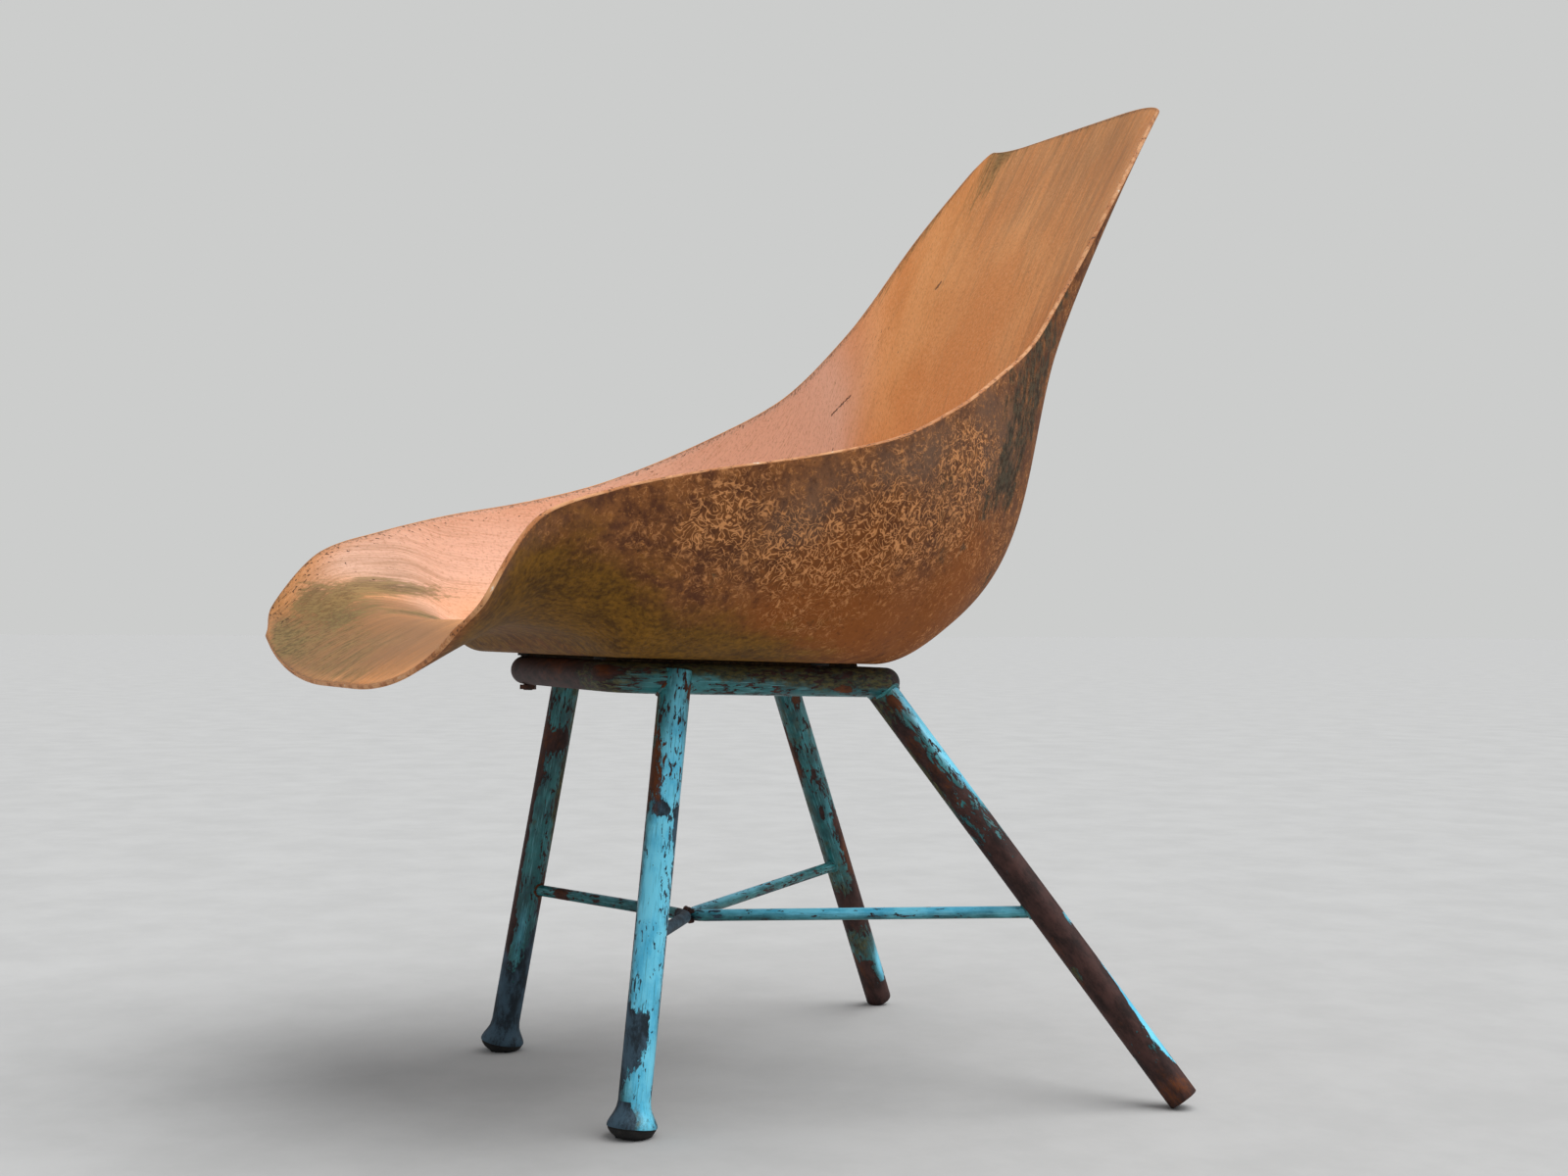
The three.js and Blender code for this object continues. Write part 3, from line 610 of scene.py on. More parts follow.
# The wear of the seat's outside as seen on the left, and a rougher guess for the right and the back.
OUTSIDE_WEAR = {
    "olive": [
        (2.0, 0.62, 1.3, 0.3, 1.0), (3.3, 0.42, 1.3, 0.22, 1.0), (1.0, 0.75, 0.8, 0.3, 0.6),
        (4.7, 0.35, 1.2, 0.18, 0.8), (2.3, -0.6, 1.4, 0.4, 0.9), (4.5, -0.35, 1.6, 0.2, 0.7),
        (3.0, 0.0, 2.5, 0.3, 0.5), (9.5, 0.0, 1.2, 0.4, 0.4),
    ],
    "soot": [
        (8.6, 0.84, 0.5, 0.12, 0.8), (8.2, 0.78, 0.35, 0.08, 0.75), (9.3, 0.95, 0.9, 0.12, 1.0),
        (8.4, 0.5, 0.25, 0.12, 0.6), (7.45, 0.72, 0.12, 0.03, 0.75), (7.75, 0.78, 0.15, 0.04, 0.6),
        (6.98, 0.72, 0.12, 0.04, 0.6), (6.9, 0.88, 0.3, 0.04, 0.45), (4.25, 0.74, 0.3, 0.08, 0.4),
        (7.6, 0.85, 1.0, 0.15, 0.3), (10.5, 0.2, 1.5, 0.6, 0.6), (9.0, -0.7, 1.2, 0.3, 0.8),
        (6.5, -0.85, 1.5, 0.2, 0.4),
    ],
    "strands": [
        (4.35, 0.88, 0.6, 0.1, 1.0), (5.55, 0.8, 0.7, 0.1, 1.0), (4.9, 0.72, 1.0, 0.14, 0.55),
        (6.6, 0.82, 0.9, 0.16, 0.8), (7.4, 0.86, 0.7, 0.1, 0.7), (3.2, 0.86, 0.6, 0.07, 0.45),
        (5.5, -0.75, 2.2, 0.35, 0.9), (9.5, 0.0, 2.0, 0.8, 0.5),
    ],
    "warm": [
        (6.2, 0.52, 1.3, 0.2, 0.9), (5.2, 0.6, 0.6, 0.14, 0.55), (5.6, 0.78, 0.5, 0.1, 0.5),
        (7.6, 0.66, 0.5, 0.14, 0.6), (7.9, 0.35, 1.0, 0.3, 0.5), (6.6, -0.5, 1.5, 0.25, 0.8),
        (11.5, 0.0, 0.8, 0.6, 0.4),
    ],
    "grey": [
        (5.1, 0.84, 0.35, 0.07, 0.8), (6.2, 0.95, 1.0, 0.06, 0.8), (8.0, 0.85, 0.9, 0.2, 0.7),
        (8.3, 0.45, 0.8, 0.2, 0.5), (1.6, 0.95, 0.9, 0.07, 0.6), (5.5, -0.9, 2.0, 0.15, 0.5),
    ],
}
INSIDE_WEAR = {
    "olive": [
        (1.4, -0.75, 0.5, 0.2, 0.5), (0.9, -0.3, 0.7, 0.5, 0.75), (0.4, -0.8, 0.5, 0.2, 0.9),
        (0.2, 0.0, 0.3, 0.9, 0.5), (11.85, -0.62, 0.45, 0.25, 0.75), (12.1, 0.0, 0.2, 1.0, 0.6),
        (11.0, -0.98, 1.2, 0.06, 0.7), (5.5, 0.0, 2.0, 0.35, 0.4),
    ],
    "brushed": [
        (1.4, -0.85, 0.5, 0.09, 0.9), (2.2, -0.72, 0.8, 0.08, 1.0), (3.3, -0.69, 0.8, 0.05, 0.8),
        (1.3, -0.62, 0.5, 0.16, 0.8), (2.6, -0.46, 0.8, 0.05, 1.0), (2.0, -0.56, 0.6, 0.06, 0.5),
    ],
    # The three strong spots in the lip are painted shade, darkening a band that the lip's shape lights
    # strongly. The rest dull the gel coat.
    "grey": [
        (11.8, 0.1, 0.5, 0.9, 0.45), (10.9, 0.35, 1.0, 0.25, 0.3), (0.9, 0.0, 1.0, 0.7, 1.1),
        (0.4, -0.75, 0.7, 0.35, 1.1), (2.2, -0.4, 1.2, 0.26, 1.3), (3.0, -0.88, 1.3, 0.14, 0.35),
        (3.2, -0.72, 0.8, 0.1, 0.4), (10.5, 0.6, 1.2, 0.2, 0.3),
    ],
    # Partly painted highlight: these spots pale the far wall and the lip where light falls on them, over
    # chalking.
    "pink": [
        (4.2, -0.88, 1.7, 0.25, 0.75), (2.6, -0.88, 1.0, 0.12, 0.7), (3.2, -0.77, 0.5, 0.08, 0.3),
        (3.2, -0.5, 0.9, 0.16, 0.7), (9.1, -0.88, 0.9, 0.3, 1.0), (7.4, -0.92, 1.6, 0.3, 1.0),
    ],
    "specks": [
        (1.8, -0.95, 0.5, 0.08, 1.0), (3.0, -0.99, 1.0, 0.05, 0.9), (0.8, -0.95, 0.6, 0.15, 1.0),
        (2.3, -0.78, 0.6, 0.07, 0.6), (6.0, -0.99, 3.0, 0.05, 0.6), (10.2, -0.75, 0.8, 0.15, 0.45),
    ],
}


def make_seat():
    """The outer and the inner skin, with a rounded rim between them."""
    # Rows and columns are spread so that they lie about evenly over the skin, with more rows by the top's
    # rounded corners.
    guide = np.linspace(0, TOP, 1201)
    lengths = sum(walked(shell_skin(guide, np.full(guide.shape, a)), 0) for a in (-1.0, 0.0, 1.0))
    place = np.interp(np.linspace(0, lengths[-1], 231), lengths, guide)
    place = np.unique(np.concatenate([place, TOP - 0.3 * (1 - np.sin(np.linspace(0, math.pi / 2, 18)))]))
    half = np.concatenate([np.linspace(0, FLOOR_SHARE, 16), np.linspace(FLOOR_SHARE, 1, 56)[1:]])
    across = np.concatenate([-half[:0:-1], half])
    place, across = np.meshgrid(place, across, indexing="ij")
    # The top's corners are rounded off, the right one more.
    for side, span, share in ((-1, 0.3, 0.2), (1, 0.1, 0.04)):
        near_top = np.clip((place - TOP + span) / span, 0, 1)
        narrowed = 1 - share * (1 - np.sqrt(1 - near_top**2))
        across = np.where(across * side > 0, across * narrowed, across)
    outer = shell_skin(place, across)
    sideways = np.gradient(outer, axis=1)
    along = np.gradient(outer, axis=0)
    inward = np.cross(sideways, along)
    inward /= np.linalg.norm(inward, axis=-1, keepdims=True)
    inner = outer + inward * SHELL_THICKNESS

    rows, columns = place.shape
    run = walked(outer, 0)
    width = walked(outer, 1)
    width = width - width[:, [columns // 2]]
    middle_run = run - run[:, [columns // 2]]
    own = np.stack([width, run[:, [columns // 2]] + middle_run * 0.5, np.zeros(place.shape)], -1) * MM

    points = [outer.reshape(-1, 3), inner.reshape(-1, 3)]
    places = [own.reshape(-1, 3), own.reshape(-1, 3) + np.array([0, 0, 0.5])]
    faces = [face[::-1] for face in grid_faces(rows, columns)]
    kinds = [0] * len(faces)
    faces += grid_faces(rows, columns, start=rows * columns)
    kinds += [1] * (len(faces) - len(kinds))

    # The rim: a worn, rounded edge all the way round.
    edge = [(0, j) for j in range(columns)] + [(i, columns - 1) for i in range(1, rows)]
    edge += [(rows - 1, j) for j in range(columns - 2, -1, -1)] + [(i, 0) for i in range(rows - 2, 0, -1)]
    edge = np.array(edge)
    middle = (outer[edge[:, 0], edge[:, 1]] + inner[edge[:, 0], edge[:, 1]]) / 2
    up = inward[edge[:, 0], edge[:, 1]]
    run_along = np.roll(middle, -1, 0) - np.roll(middle, 1, 0)
    run_along /= np.linalg.norm(run_along, axis=1, keepdims=True)
    away = np.cross(run_along, up)
    away /= np.linalg.norm(away, axis=1, keepdims=True)
    first_row = 2 * rows * columns
    for k in range(1, RIM_STEPS):
        angle = -math.pi / 2 + math.pi * k / RIM_STEPS
        rise = up * (SHELL_THICKNESS / 2) * math.sin(angle)
        points.append(middle + rise + away * RIM_BULGE * math.cos(angle))
        places.append(own[edge[:, 0], edge[:, 1]] + np.array([0, 0, 0.001 * k]))
    count = len(edge)
    outer_ids = edge[:, 0] * columns + edge[:, 1]
    loops = [outer_ids] + [first_row + k * count + np.arange(count) for k in range(RIM_STEPS - 1)]
    loops.append(outer_ids + rows * columns)
    for low, high in zip(loops, loops[1:]):
        for j in range(count):
            following = (j + 1) % count
            faces.append((low[j], low[following], high[following], high[j]))
    kinds += [2] * (len(faces) - len(kinds))

    points = from_ring(turned(np.concatenate(points), SHELL_TWIST, 0, 1))
    rim_points = (RIM_STEPS - 1) * count
    fields = {"place": np.concatenate(places)}
    # Nearness to the rim, 1 at the edge.
    to_edge = np.minimum(np.minimum(run, run[[-1]] - run), (1 - np.abs(across)) * np.abs(width[:, [-1]]))
    near_edge = np.exp(-((to_edge / RIM_DIRT) ** 2)).reshape(-1)
    fields["edge"] = np.concatenate([near_edge, near_edge, np.ones(rim_points)])
    for key in sorted({*OUTSIDE_WEAR, *INSIDE_WEAR}):
        outside = patches(place, across, OUTSIDE_WEAR.get(key, [])).reshape(-1)
        inside = patches(place, across, INSIDE_WEAR.get(key, [])).reshape(-1)
        fields[key] = np.concatenate([outside, inside, np.zeros(rim_points)])
    skins = [OUTSIDE, INSIDE, RIM]
    seat = make_piece("seat", points, faces, skins, fields, kinds, sharp=math.radians(75))
    place_piece(seat, "seat_shell")


make_seat()


def ring_line(steps=14):
    """The ring's middle line in its own frame: from the back right corner round by the left side."""
    corners = [
        np.array([-RING_BACK_HALF_WIDTH, RING_BACK_REACH]),
        np.array([RING_BACK_HALF_WIDTH, RING_BACK_REACH]),
        np.array([RING_FRONT_HALF_WIDTH, -RING_FRONT_REACH]),
        np.array([-RING_FRONT_HALF_WIDTH, -RING_FRONT_REACH]),
    ]
    line = []
    for i, corner in enumerate(corners):
        before = corners[i - 1] - corner
        after = corners[(i + 1) % 4] - corner
        before = before / np.linalg.norm(before)
        after = after / np.linalg.norm(after)
        half_angle = math.acos(np.dot(before, after)) / 2
        inward = (before + after) / np.linalg.norm(before + after)
        centre = corner + inward * RING_BEND_RADIUS / math.sin(half_angle)
        middle = math.atan2(-inward[1], -inward[0])
        half = math.pi / 2 - half_angle
        for k in range(steps + 1):
            angle = middle + half - 2 * half * k / steps
            line.append(centre + RING_BEND_RADIUS * np.array([math.cos(angle), math.sin(angle)]))
        start = line[-1]
        far = corners[(i + 1) % 4]
        run = np.linalg.norm(far - start) - RING_BEND_RADIUS
        for distance in np.arange(6, run - 4, 6):
            line.append(start + after * distance)
    return np.array(line)


# Where the frame's paint has gone or is dirty, and where light is painted on it. Legs: (height along the leg,
# degrees round from the near side to its right, length, width, strength). "bare" below 0 is sound paint. The
# last field of each leg is painted light: the lit copy of the paint where light falls.
LEG_WEAR = {
    "front_left": {
        "bare": [
            (200, 180, 400, 80, 0.3), (276, -48, 30, 34, 0.42), (262, -20, 18, 20, 0.25),
            (246, 5, 4, 38, 0.5), (236, 30, 12, 30, 0.15), (232, 72, 30, 20, 0.45),
            (215, -90, 120, 26, 0.42), (150, 86, 60, 20, 0.3), (75, -34, 20, 62, 1.0),
            (66, 62, 20, 20, -0.3), (44, -80, 34, 34, 0.6), (352, -20, 10, 70, 0.15),
            (337, 78, 8, 24, 0.6), (150, 10, 70, 60, -0.08),
        ],
        "rusty": [
            (276, -40, 34, 45, 1.0), (337, 75, 10, 30, 1.0), (352, 0, 12, 60, 0.6),
            (300, -80, 60, 30, 0.5),
        ],
        "grime": [
            (352, -20, 30, 90, 0.25), (300, -80, 50, 30, 0.8), (200, 180, 400, 90, 0.4),
            (30, -60, 40, 60, 0.4),
        ],
        "steel": [(60, 0, 90, 200, 0.9), (240, 30, 30, 60, 0.9), (160, 0, 90, 100, 0.8)],
        "painted_light": [
            (150, 10, 110, 70, 1.0), (250, 40, 60, 40, 0.6), (320, 20, 60, 60, 0.2),
            (30, 45, 40, 50, 0.5),
        ],
    },
    "front_right": {
        "bare": [
            (286, 0, 11, 95, 0.55), (260, -50, 20, 45, 0.45), (210, -72, 70, 34, 0.62),
            (120, -74, 60, 32, 0.5), (320, -80, 40, 30, 0.4), (147, 72, 20, 30, 0.5),
            (100, -70, 34, 34, 0.55), (85, 70, 34, 34, 0.55), (28, 0, 46, 400, 0.8),
            (200, 180, 400, 80, 0.35),
        ],
        "rusty": [
            (147, 70, 26, 34, 0.6), (262, -50, 40, 45, 0.4), (286, 0, 14, 90, 0.3),
            (210, -75, 80, 30, 0.2),
        ],
        "grime": [
            (345, 0, 34, 400, 0.35), (250, 80, 90, 36, 0.7), (220, -70, 120, 50, 0.4),
            (200, 0, 160, 400, 0.12),
        ],
        "steel": [(40, 0, 55, 400, 1.0), (110, 60, 30, 40, 0.8)],
        "painted_light": [(200, 20, 60, 40, 0.06), (110, 0, 30, 30, 0.25)],
    },
    "back_left": {
        "bare": [
            (395, 10, 7, 22, 0.5), (412, -5, 5, 14, 0.4), (355, -40, 60, 50, 0.36),
            (150, 0, 150, 400, 0.62), (352, 70, 48, 28, -0.55), (62, 72, 34, 17, -1.3),
            (100, 82, 30, 8, -0.8), (168, 68, 7, 12, -0.9), (129, -50, 7, 16, -0.9),
            (312, -62, 12, 18, -0.5), (336, -70, 12, 14, -0.5), (8, 0, 20, 400, 0.8),
        ],
        "rusty": [
            (395, 10, 12, 30, 1.0), (330, -20, 60, 50, 0.55), (160, -60, 60, 30, 0.45),
            (60, -10, 60, 60, 0.25), (8, 0, 18, 400, 0.5),
        ],
        "grime": [
            (400, -30, 60, 60, 0.5), (340, -70, 70, 46, 0.9), (130, -70, 70, 40, 0.9),
            (385, 40, 20, 40, 0.3),
        ],
        "steel": [(180, 10, 60, 40, 0.2)],
        "painted_light": [(352, 72, 60, 36, 1.0), (62, 72, 45, 30, 1.0), (130, 80, 60, 30, 0.6)],
    },
    "back_right": {
        "bare": [
            (374, 40, 9, 35, 0.6), (300, -68, 28, 34, 0.5), (340, -76, 20, 24, 0.4),
            (290, 10, 8, 16, 0.45), (270, 30, 14, 16, 0.35), (245, -5, 10, 12, 0.35),
            (200, 62, 50, 34, 0.65), (126, 0, 22, 400, 0.75), (40, 0, 50, 400, 0.5),
            (44, 60, 17, 30, -1.0), (74, -10, 10, 60, -0.6), (6, 0, 13, 400, 0.9),
            (200, 180, 400, 60, 0.4),
        ],
        "rusty": [
            (374, 40, 12, 40, 1.0), (310, -70, 40, 40, 0.8), (190, 60, 60, 40, 0.6),
            (60, -40, 60, 60, 0.5),
        ],
        "grime": [
            (350, 0, 60, 400, 0.35), (74, -20, 40, 80, 0.5), (150, 0, 60, 400, 0.5),
            (260, -70, 90, 50, 0.5),
        ],
        "painted_light": [(250, 30, 90, 40, 0.15), (45, 62, 25, 30, 0.6)],
    },
}
# The ring: (place x, place y in the ring's frame, degrees round from outward to up, reach, width, strength).
# Its last field is painted light, the lit copy of the paint.
RING_WEAR = {
    "bare": [
        (-95, -129, 0, 130, 400, 1.0), (-140, -100, 0, 60, 400, 0.5), (20, -129, 0, 60, 400, 0.2),
        (112, -124, 15, 9, 26, 0.6), (125, -118, 30, 12, 30, 0.3), (115, 30, 40, 95, 70, 0.2),
        (106, 70, -30, 12, 20, 0.4), (60, 130, 0, 60, 400, 0.2), (-120, 0, 0, 80, 400, 0.25),
    ],
    "rusty": [
        (20, -129, 60, 80, 60, 0.3), (106, 70, -30, 14, 30, 1.0), (112, -126, 20, 14, 40, 0.6),
        (125, -40, 40, 40, 40, 0.5), (0, -129, 0, 60, 400, 0.35),
    ],
    "grime": [
        (116, 20, 55, 100, 62, 0.85), (100, 90, 40, 40, 60, 0.8), (130, -70, 78, 60, 50, 1.0),
        (20, -129, 20, 90, 400, 0.9), (100, -127, 20, 26, 400, 0.9), (0, 130, 60, 90, 80, 0.8),
        (-120, 20, 60, 120, 80, 0.8), (110, 50, -10, 60, 40, 0.35),
    ],
    "painted_light": [(138, -80, -15, 50, 50, 0.08)],
}
# The rods: (distance from the left end, degrees round from the top, length, width, strength). The last field
# of each is painted light on the lit top of the rod.
ROD_WEAR = {
    "front": {
        "bare": [(40, 0, 130, 400, 0.75), (168, 0, 20, 400, 0.3), (318, 0, 8, 400, 0.6)],
        "rusty": [(318, 0, 14, 400, 0.5), (30, 0, 40, 400, 0.25)],
        "grime": [(260, 0, 60, 400, 0.25)],
        "steel": [(60, 0, 160, 400, 1.0)],
        "painted_light": [(260, 0, 90, 70, 0.25)],
    },
    "back": {
        # Painted reflection: the spots at 450 round the underside (180 degrees) in the bare, grime and steel
        # lists give the rod's right half the grey cast of floor light thrown up under it.
        "bare": [
            (450, 180, 180, 70, 0.45), (298, 0, 10, 400, 0.2), (3, 0, 8, 400, 0.6),
            (150, 0, 140, 400, -0.12),
        ],
        "rusty": [(300, 0, 10, 400, 0.4)],
        "grime": [(450, 180, 160, 100, 0.3)],
        "steel": [(300, 0, 40, 400, 0.8), (450, 180, 180, 90, 0.7)],
        "painted_light": [(140, 0, 150, 100, 0.9), (400, 0, 120, 60, 0.4)],
    },
}


def ring_fields(line, sides):
    """Smooth fields from the spots of wear on the ring."""
    angle = np.arange(sides) * 360 / sides
    around = np.broadcast_to(angle[None, :], (len(line), sides))
    fields = {}
    for key, places in RING_WEAR.items():
        field = np.zeros(around.shape)
        for x, y, at_around, reach, width, strength in places:
            away = np.linalg.norm(line - np.array([x, y]), axis=1)[:, None]
            apart = (around - at_around + 180) % 360 - 180
            field = field + strength * np.exp(-((away / reach) ** 2) - (apart / width) ** 2)
        fields[key] = np.clip(field, -1, 1).reshape(-1)
    return fields


def make_ring():
    line = ring_line()
    sides = 56
    level = np.column_stack([line, np.zeros(len(line))])
    runs = np.roll(level, -1, 0) - np.roll(level, 1, 0)
    outward = np.stack([-runs[:, 1], runs[:, 0], runs[:, 2]], -1)
    outward = turned(outward, -RING_RAKE, 1, 2)
    wear = ring_fields(line, sides)
    ring = swept_piece("ring", from_ring(level), TUBE_RADIUS, wear, True, sides, outward, begin=1000)
    place_piece(ring, "ring_frame")
    return line


RING_LINE = make_ring()


def tube_skin(start, end):
    """The straight part of a leg's profile, with a ring of points about every 3 mm."""
    count = max(2, round((end - start) / 3) + 1)
    return [(TUBE_RADIUS, distance) for distance in np.linspace(start, end, count)]


def make_legs():
    inner = TUBE_RADIUS - TUBE_WALL
    for name, (foot, top) in LEGS.items():
        length = np.linalg.norm(top - foot)
        if name.startswith("front"):
            # It starts inside the bell, and runs a little past the ring's middle line, where it is welded on.
            start, end, rounding = BELL_TOP - 1, length + FRONT_LEG_OVERRUN, 0.6
            profile = [(0, start)] + tube_skin(start, end - rounding)
            profile += [(TUBE_RADIUS - rounding, end), (0, end)]
        else:
            # The tube is open at its foot, as deep as one can see in.
            profile = [(0, 40), (inner, 40), (inner, 0.4), (TUBE_RADIUS - 0.7, 0), (TUBE_RADIUS, 0.7)]
            profile += tube_skin(3, length) + [(0, length)]
        leg = turned_piece("leg_tube_" + name, foot, top, profile, [PAINT], LEG_WEAR[name])
        for vertex in leg.data.vertices:
            # A back leg is worn a little flat where its edge stands.
            vertex.co.z = max(vertex.co.z, 0)
        place_piece(leg, "leg_" + name)


make_legs()


def make_feet():
    bell_profile = [
        (0, 9), (17.5, 8.2), (18.7, 7.8), (19.2, 8), (19.3, 9.2), (18.8, 11), (17.4, 13.8), (15.8, 16.5),
        (14.4, 19.3), (13.3, 22), (12.8, 25), (12.5, 27), (11, 27.5),
    ]
    pad_profile = [
        (0, 0), (11.4, 0), (12.6, 0.7), (15.2, 2.4), (17.3, 4.6), (18.4, 6.6), (18.5, 8.2), (0, 8.6),
    ]
    for name in ("front_left", "front_right"):
        foot, top = LEGS[name]
        wear = {key: list(places) for key, places in LEG_WEAR[name].items()}
        if name == "front_left":
            wear["bare"] += [(14, -65, 18, 75, 1.0), (16, 35, 12, 30, -0.4)]
            wear["grime"] += [(12, -40, 14, 90, 0.6)]
        piece = turned_piece("bell_" + name, foot, top, bell_profile, [PAINT], wear)
        place_piece(piece, "bell_foot_" + name)
        pad = turned_piece("pad_" + name, foot, top, pad_profile, [RUBBER])
        for vertex in pad.data.vertices:
            # Worn flat to the floor, whichever way the leg leans.
            vertex.co.z = 0 if vertex.co.z < PAD_WEAR * MM else vertex.co.z
        place_piece(pad, "foot_pad_" + name)


make_feet()


def along_leg(name, height):
    """The place on a leg's middle line at a height above the floor."""
    foot, top = LEGS[name]
    return foot + (top - foot) * (height - foot[2]) / (top[2] - foot[2])


def rod_line(left_leg, right_leg, height, middle):
    """A rod from one leg's middle line to the other's, with a rounded bend by the middle of the chair."""
    left, right = along_leg(left_leg, height), along_leg(right_leg, height)
    to_left = (left - middle) / np.linalg.norm(left - middle)
    to_right = (right - middle) / np.linalg.norm(right - middle)
    # The corner lies so far out that the rounded bend passes through the middle.
    corner = middle - (to_left + to_right) * 5
    start, end = corner + to_left * 20, corner + to_right * 20
    line = [left + (start - left) * t for t in np.linspace(0, 1, 60)]
    for t in np.linspace(0, 1, 14)[1:-1]:
        line.append(start * (1 - t) ** 2 + corner * 2 * t * (1 - t) + end * t**2)
    return np.array(line + [end + (right - end) * t for t in np.linspace(0, 1, 60)])


def make_rods():
    lines = {}
    # From leg to leg, at a height there, passing this far behind the place where the two meet.
    places = {
        "front": ("front_left", "front_right", 146, -5.15),
        "back": ("back_left", "back_right", 152, 5.15),
    }
    for name, (left_leg, right_leg, height, offset) in places.items():
        middle = on_floor(*ROD_MEETING) + np.array([0, offset, 0])
        line = rod_line(left_leg, right_leg, height, middle)
        rod = swept_piece("rod_" + name, line, ROD_RADIUS, ROD_WEAR[name], False, 32, (0, 0, 1))
        place_piece(rod, "stretcher_" + name)
        lines[name] = line
    return lines


ROD_LINES = make_rods()


def make_painted_gap_shadow():
    """A crumbly dark line between the ring and the flat floor of the seat: painted shadow in the gap."""
    # The seat's floor lies flat this far back, so only there is the gap narrow.
    at = RING_LINE[:, 1] < 92
    first = int(np.argmax(at & ~np.roll(at, 1)))
    line = np.roll(RING_LINE, -first, 0)[: int(at.sum())]
    wander = np.arange(len(line))
    half_width = 3.2 + 0.9 * np.sin(wander * 0.9) + 0.7 * np.sin(wander * 0.37 + 1)
    runs = np.gradient(line, axis=0)
    outward = np.stack([-runs[:, 1], runs[:, 0]], -1) / np.linalg.norm(runs, axis=1, keepdims=True)
    low, high = TUBE_RADIUS - 0.6, SHELL_BASE + 0.1
    rows = []
    middle = (low + high) / 2
    for side, height in ((1, low), (1.25, middle), (1, high), (-1, high), (-1.25, middle), (-1, low)):
        flat = line + outward * (side * half_width)[:, None]
        rows.append(np.column_stack([flat, np.full(len(line), height)]))
    points = from_ring(np.stack(rows, 1)).reshape(-1, 3)
    faces = grid_faces(len(line), 6, closed_columns=True)
    faces += [tuple(range(6))[::-1], tuple(range((len(line) - 1) * 6, len(line) * 6))]
    # Painted shadow: a dark fill where the gap under the seat is only in shade.
    dirt = make_piece("painted_gap_shadow", points, faces, [GAP_SHADOW])
    place_piece(dirt)


make_painted_gap_shadow()


def make_fixings():
    """The CAD model's own rivets, bolt, nut, washers and spacers, with their looks and worn edges."""
    for name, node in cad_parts.items():
        if name.startswith(("rivet", "bolt", "nut", "washer")):
            material = STEEL
        elif name.startswith("spacer"):
            material = RUBBER
        else:
            continue
        node.data.materials.clear()
        node.data.materials.append(material)
        bevel = node.modifiers.new("worn edges", "BEVEL")
        bevel.width = 0.0004
        bevel.segments = 2
        bevel.limit_method = "ANGLE"


make_fixings()


# A direction that no weld runs in.
WELD_SIDE = (0.2, 0.3, 1)


def weld(name, points, size, closed, wear):
    """A bead of weld along a line of points, uneven along its run."""
    points = np.asarray(points)
    count = len(points)
    beat = np.arange(count)
    radii = size * (1 + 0.14 * np.sin(beat * 1.7) + 0.1 * np.sin(beat * 0.61 + 2))
    if not closed:
        # It thins out at its ends.
        radii[0] = radii[-1] = size * 0.5
    fields = {"bare": [(0, 0, 1e5, 400, wear[0])], "rusty": [(0, 0, 1e5, 400, wear[1])]}
    fields["grime"] = [(0, 0, 1e5, 400, 0.3)]
    bead = swept_piece("weld_" + name, points, radii, fields, closed, 14, WELD_SIDE)
    place_piece(bead)


def meeting_line(start, direction, radius, inside, reach, sides=48):
    """Where the lines of a round bar's skin first go inside another piece, within reach of a start."""
    first, second = crosswise(direction, NEAR_SIDE)
    met = []
    for k in range(sides):
        angle = 2 * math.pi * k / sides
        point = start + radius * (first * math.cos(angle) + second * math.sin(angle))
        hit = None
        for distance in np.arange(0, reach, 0.5):
            if inside(point + direction * distance):
                hit = point + direction * distance
                break
        met.append(hit)
    return met


def longest_run(points):
    """The longest unbroken run in a round of points, and whether it goes all the way round."""
    if all(point is not None for point in points):
        return points, True
    turns = (points[start:] + points[:start] for start in range(len(points)))
    runs = (list(itertools.takewhile(lambda point: point is not None, turn)) for turn in turns)
    return max(runs, key=len), False


def inside_ring(point):
    """Whether a point is inside the ring's tube."""
    local = point - np.array([RING_CENTRE[0], RING_CENTRE[1], RING_HEIGHT])
    local = turned(local[None], RING_RAKE, 1, 2)[0]
    away = np.linalg.norm(RING_LINE - local[:2], axis=1).min()
    return away**2 + local[2] ** 2 < TUBE_RADIUS**2


def inside_leg(name):
    """Gives back what tells whether a point is inside a leg's tube."""
    foot, top = LEGS[name]
    axis = (top - foot) / np.linalg.norm(top - foot)
    return lambda point: np.linalg.norm(np.cross(point - foot, axis)) < TUBE_RADIUS


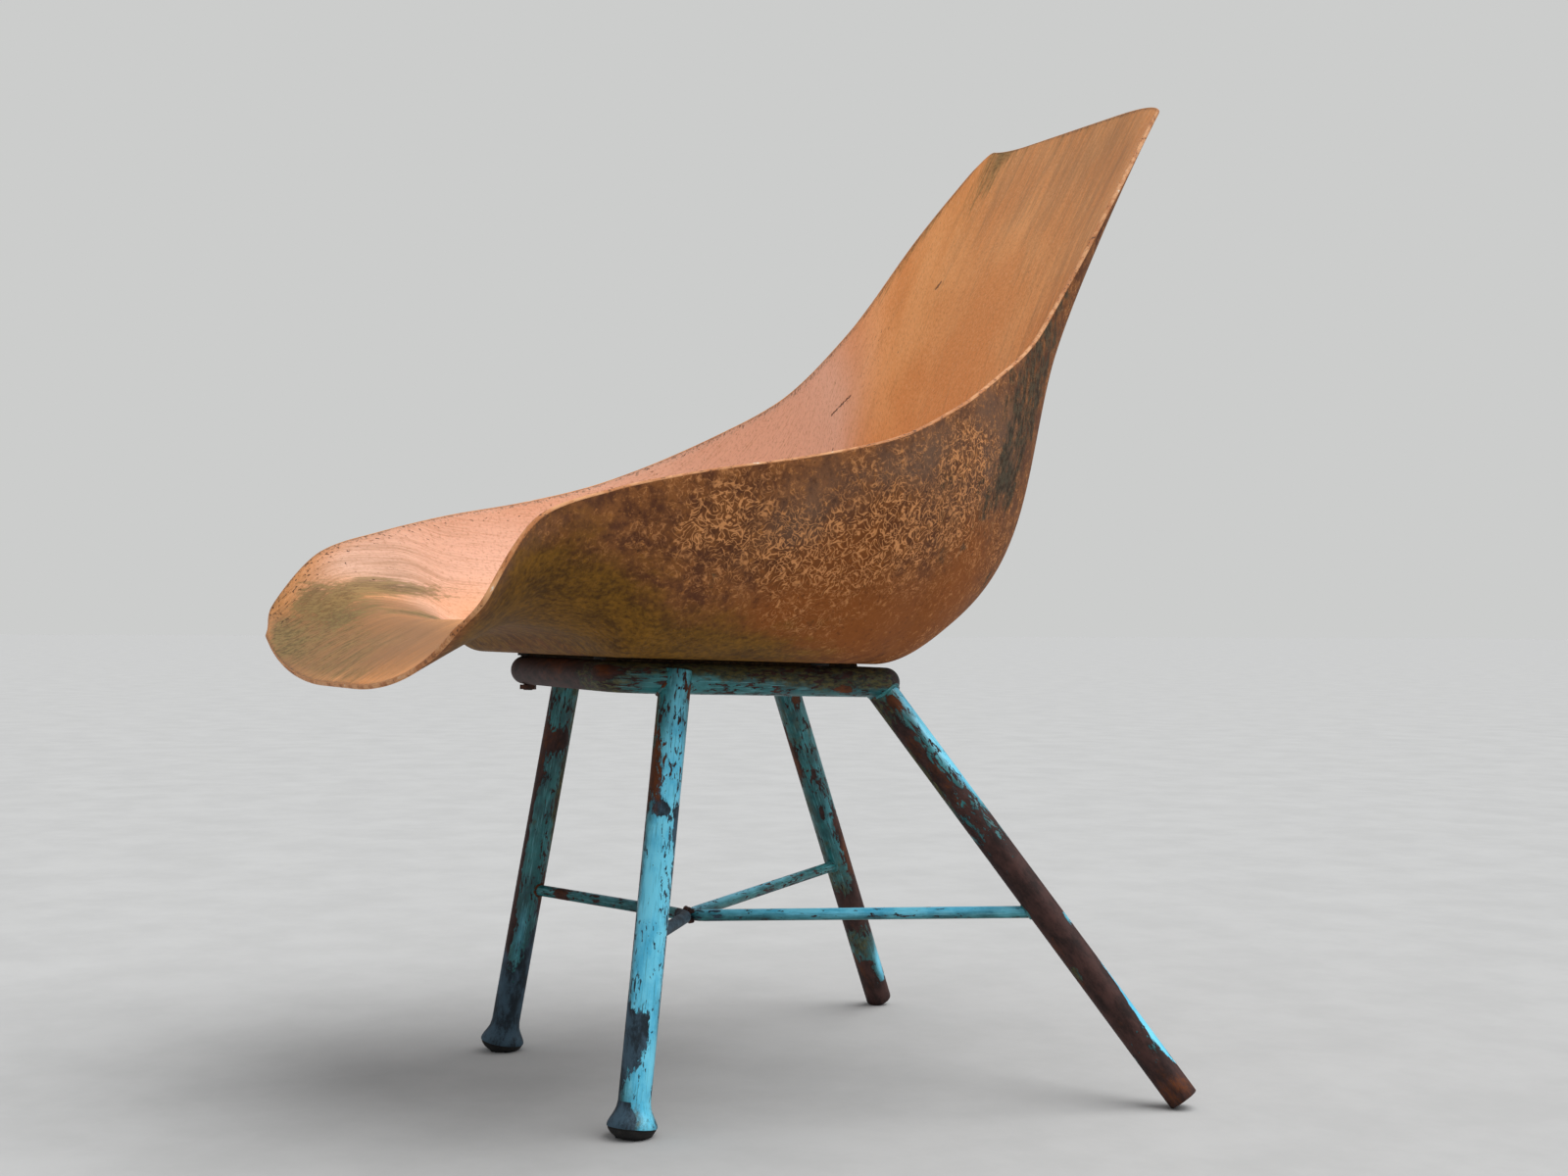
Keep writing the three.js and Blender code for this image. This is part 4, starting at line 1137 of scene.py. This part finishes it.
def make_welds():
    """Beads where the legs meet the ring, where the rods meet the legs, and where the two rods meet."""
    # How bare and how rusty each one is.
    tops = {
        "front_left": (0.35, 0.9),
        "front_right": (0.1, 0.4),
        "back_left": (0.0, 0.4),
        "back_right": (0.6, 1.0),
    }
    for name, wear in tops.items():
        foot, top = LEGS[name]
        axis = (top - foot) / np.linalg.norm(top - foot)
        # Looked for from 60 mm below the top, on to past the ring's far side.
        met = meeting_line(top - axis * 60, axis, TUBE_RADIUS, inside_ring, 75)
        run, closed = longest_run(met)
        weld(name, run, 2.0, closed, wear)
    ends = {
        ("front", 0): ("front_left", (0.5, 0.3)),
        ("front", -1): ("front_right", (0.6, 0.8)),
        ("back", 0): ("back_left", (0.0, 0.2)),
        ("back", -1): ("back_right", (-0.1, 0.2)),
    }
    for (rod, end), (leg, wear) in ends.items():
        line = ROD_LINES[rod] if end == 0 else ROD_LINES[rod][::-1]
        straight = line[0] - line[30]
        direction = straight / np.linalg.norm(straight)
        met = meeting_line(line[0] - direction * 32, direction, ROD_RADIUS, inside_leg(leg), 40, sides=28)
        run, closed = longest_run(met)
        weld(f"{rod}_rod_{leg}", run, 1.5, closed, wear)
    hub = on_floor(*ROD_MEETING)
    for side, height in (("top", 4.2), ("bottom", -4.2)):
        across = np.linspace(-9, 9, 16)
        bead = np.stack([across, 0.15 * across * np.sin(across), height - abs(across) * 0.03], -1)
        weld("rods_" + side, hub + bead, 2.2, False, (0.6, 0.4))


make_welds()


def studio_floor():
    """A plain pale painted floor with a faint mottle."""
    material, add = new_material("studio_floor")
    mottle = pattern(add, add("TexCoord", output=3), (1, 1, 1), 0.15, detail=6, roughness=0.7)
    colour = layer(add, "b4b4b3", "bbbbba", mottle, 0.3, 0.7)
    finish_surface(add, colour, 0.9, mottle, 0.0005, 0.0)
    return material


def make_stage():
    """The floor, the sky and the light, which aren't part of the chair."""
    floor_points = [(-60000, -60000, 0), (60000, -60000, 0), (60000, 60000, 0), (-60000, 60000, 0)]
    floor = make_piece("floor", floor_points, [(0, 1, 2, 3)], [studio_floor()])

    # An even sky, brightest overhead. The camera itself sees a pale backdrop the colour of the lit floor.
    world = bpy.data.worlds.new("soft sky")
    bpy.context.scene.world = world
    world.use_nodes = True
    world.node_tree.nodes.clear()
    add = functools.partial(add_node, world.node_tree)
    height = add("SeparateXYZ", add("TexCoord"), output=2)
    sky = layer(add, "8b8c90", "d7d9db", height, -0.1, 1.0)
    colour = add("Mix", add("LightPath"), sky, "cccdcc", **BLEND)
    add("OutputWorld", add("Background", colour, 1.0))

    # A broad soft light from above, a little behind the chair and to its left.
    sun = bpy.data.lights.new("overhead", "SUN")
    sun.angle = math.radians(60)
    sun.energy = 2.45
    lamp = bpy.data.objects.new("overhead", sun)
    bpy.context.scene.collection.objects.link(lamp)
    lamp.rotation_euler = (-Vector((0.25, 0.35, 1))).to_track_quat("-Z", "Y").to_euler()


def make_camera():
    """Stands where the photo was taken from, level with the seat's base, tipped up a little."""
    pitch, roll = math.radians(1.1), math.radians(0.3)
    place = Vector((1550.93, -689.44, 385.5)) * MM
    lens = bpy.data.cameras.new("camera")
    lens.sensor_width = 36
    lens.lens = 45
    lens.clip_end = 100
    camera = bpy.data.objects.new("camera", lens)
    bpy.context.scene.collection.objects.link(camera)
    facing = Matrix.Rotation(PHOTO_AZIMUTH, 4, "Z") @ Matrix.Rotation(math.pi / 2 + pitch, 4, "X")
    camera.matrix_world = Matrix.Translation(place) @ facing @ Matrix.Rotation(roll, 4, "Z")
    bpy.context.scene.camera = camera


make_stage()
make_camera()
bpy.context.scene.view_settings.view_transform = "Standard"
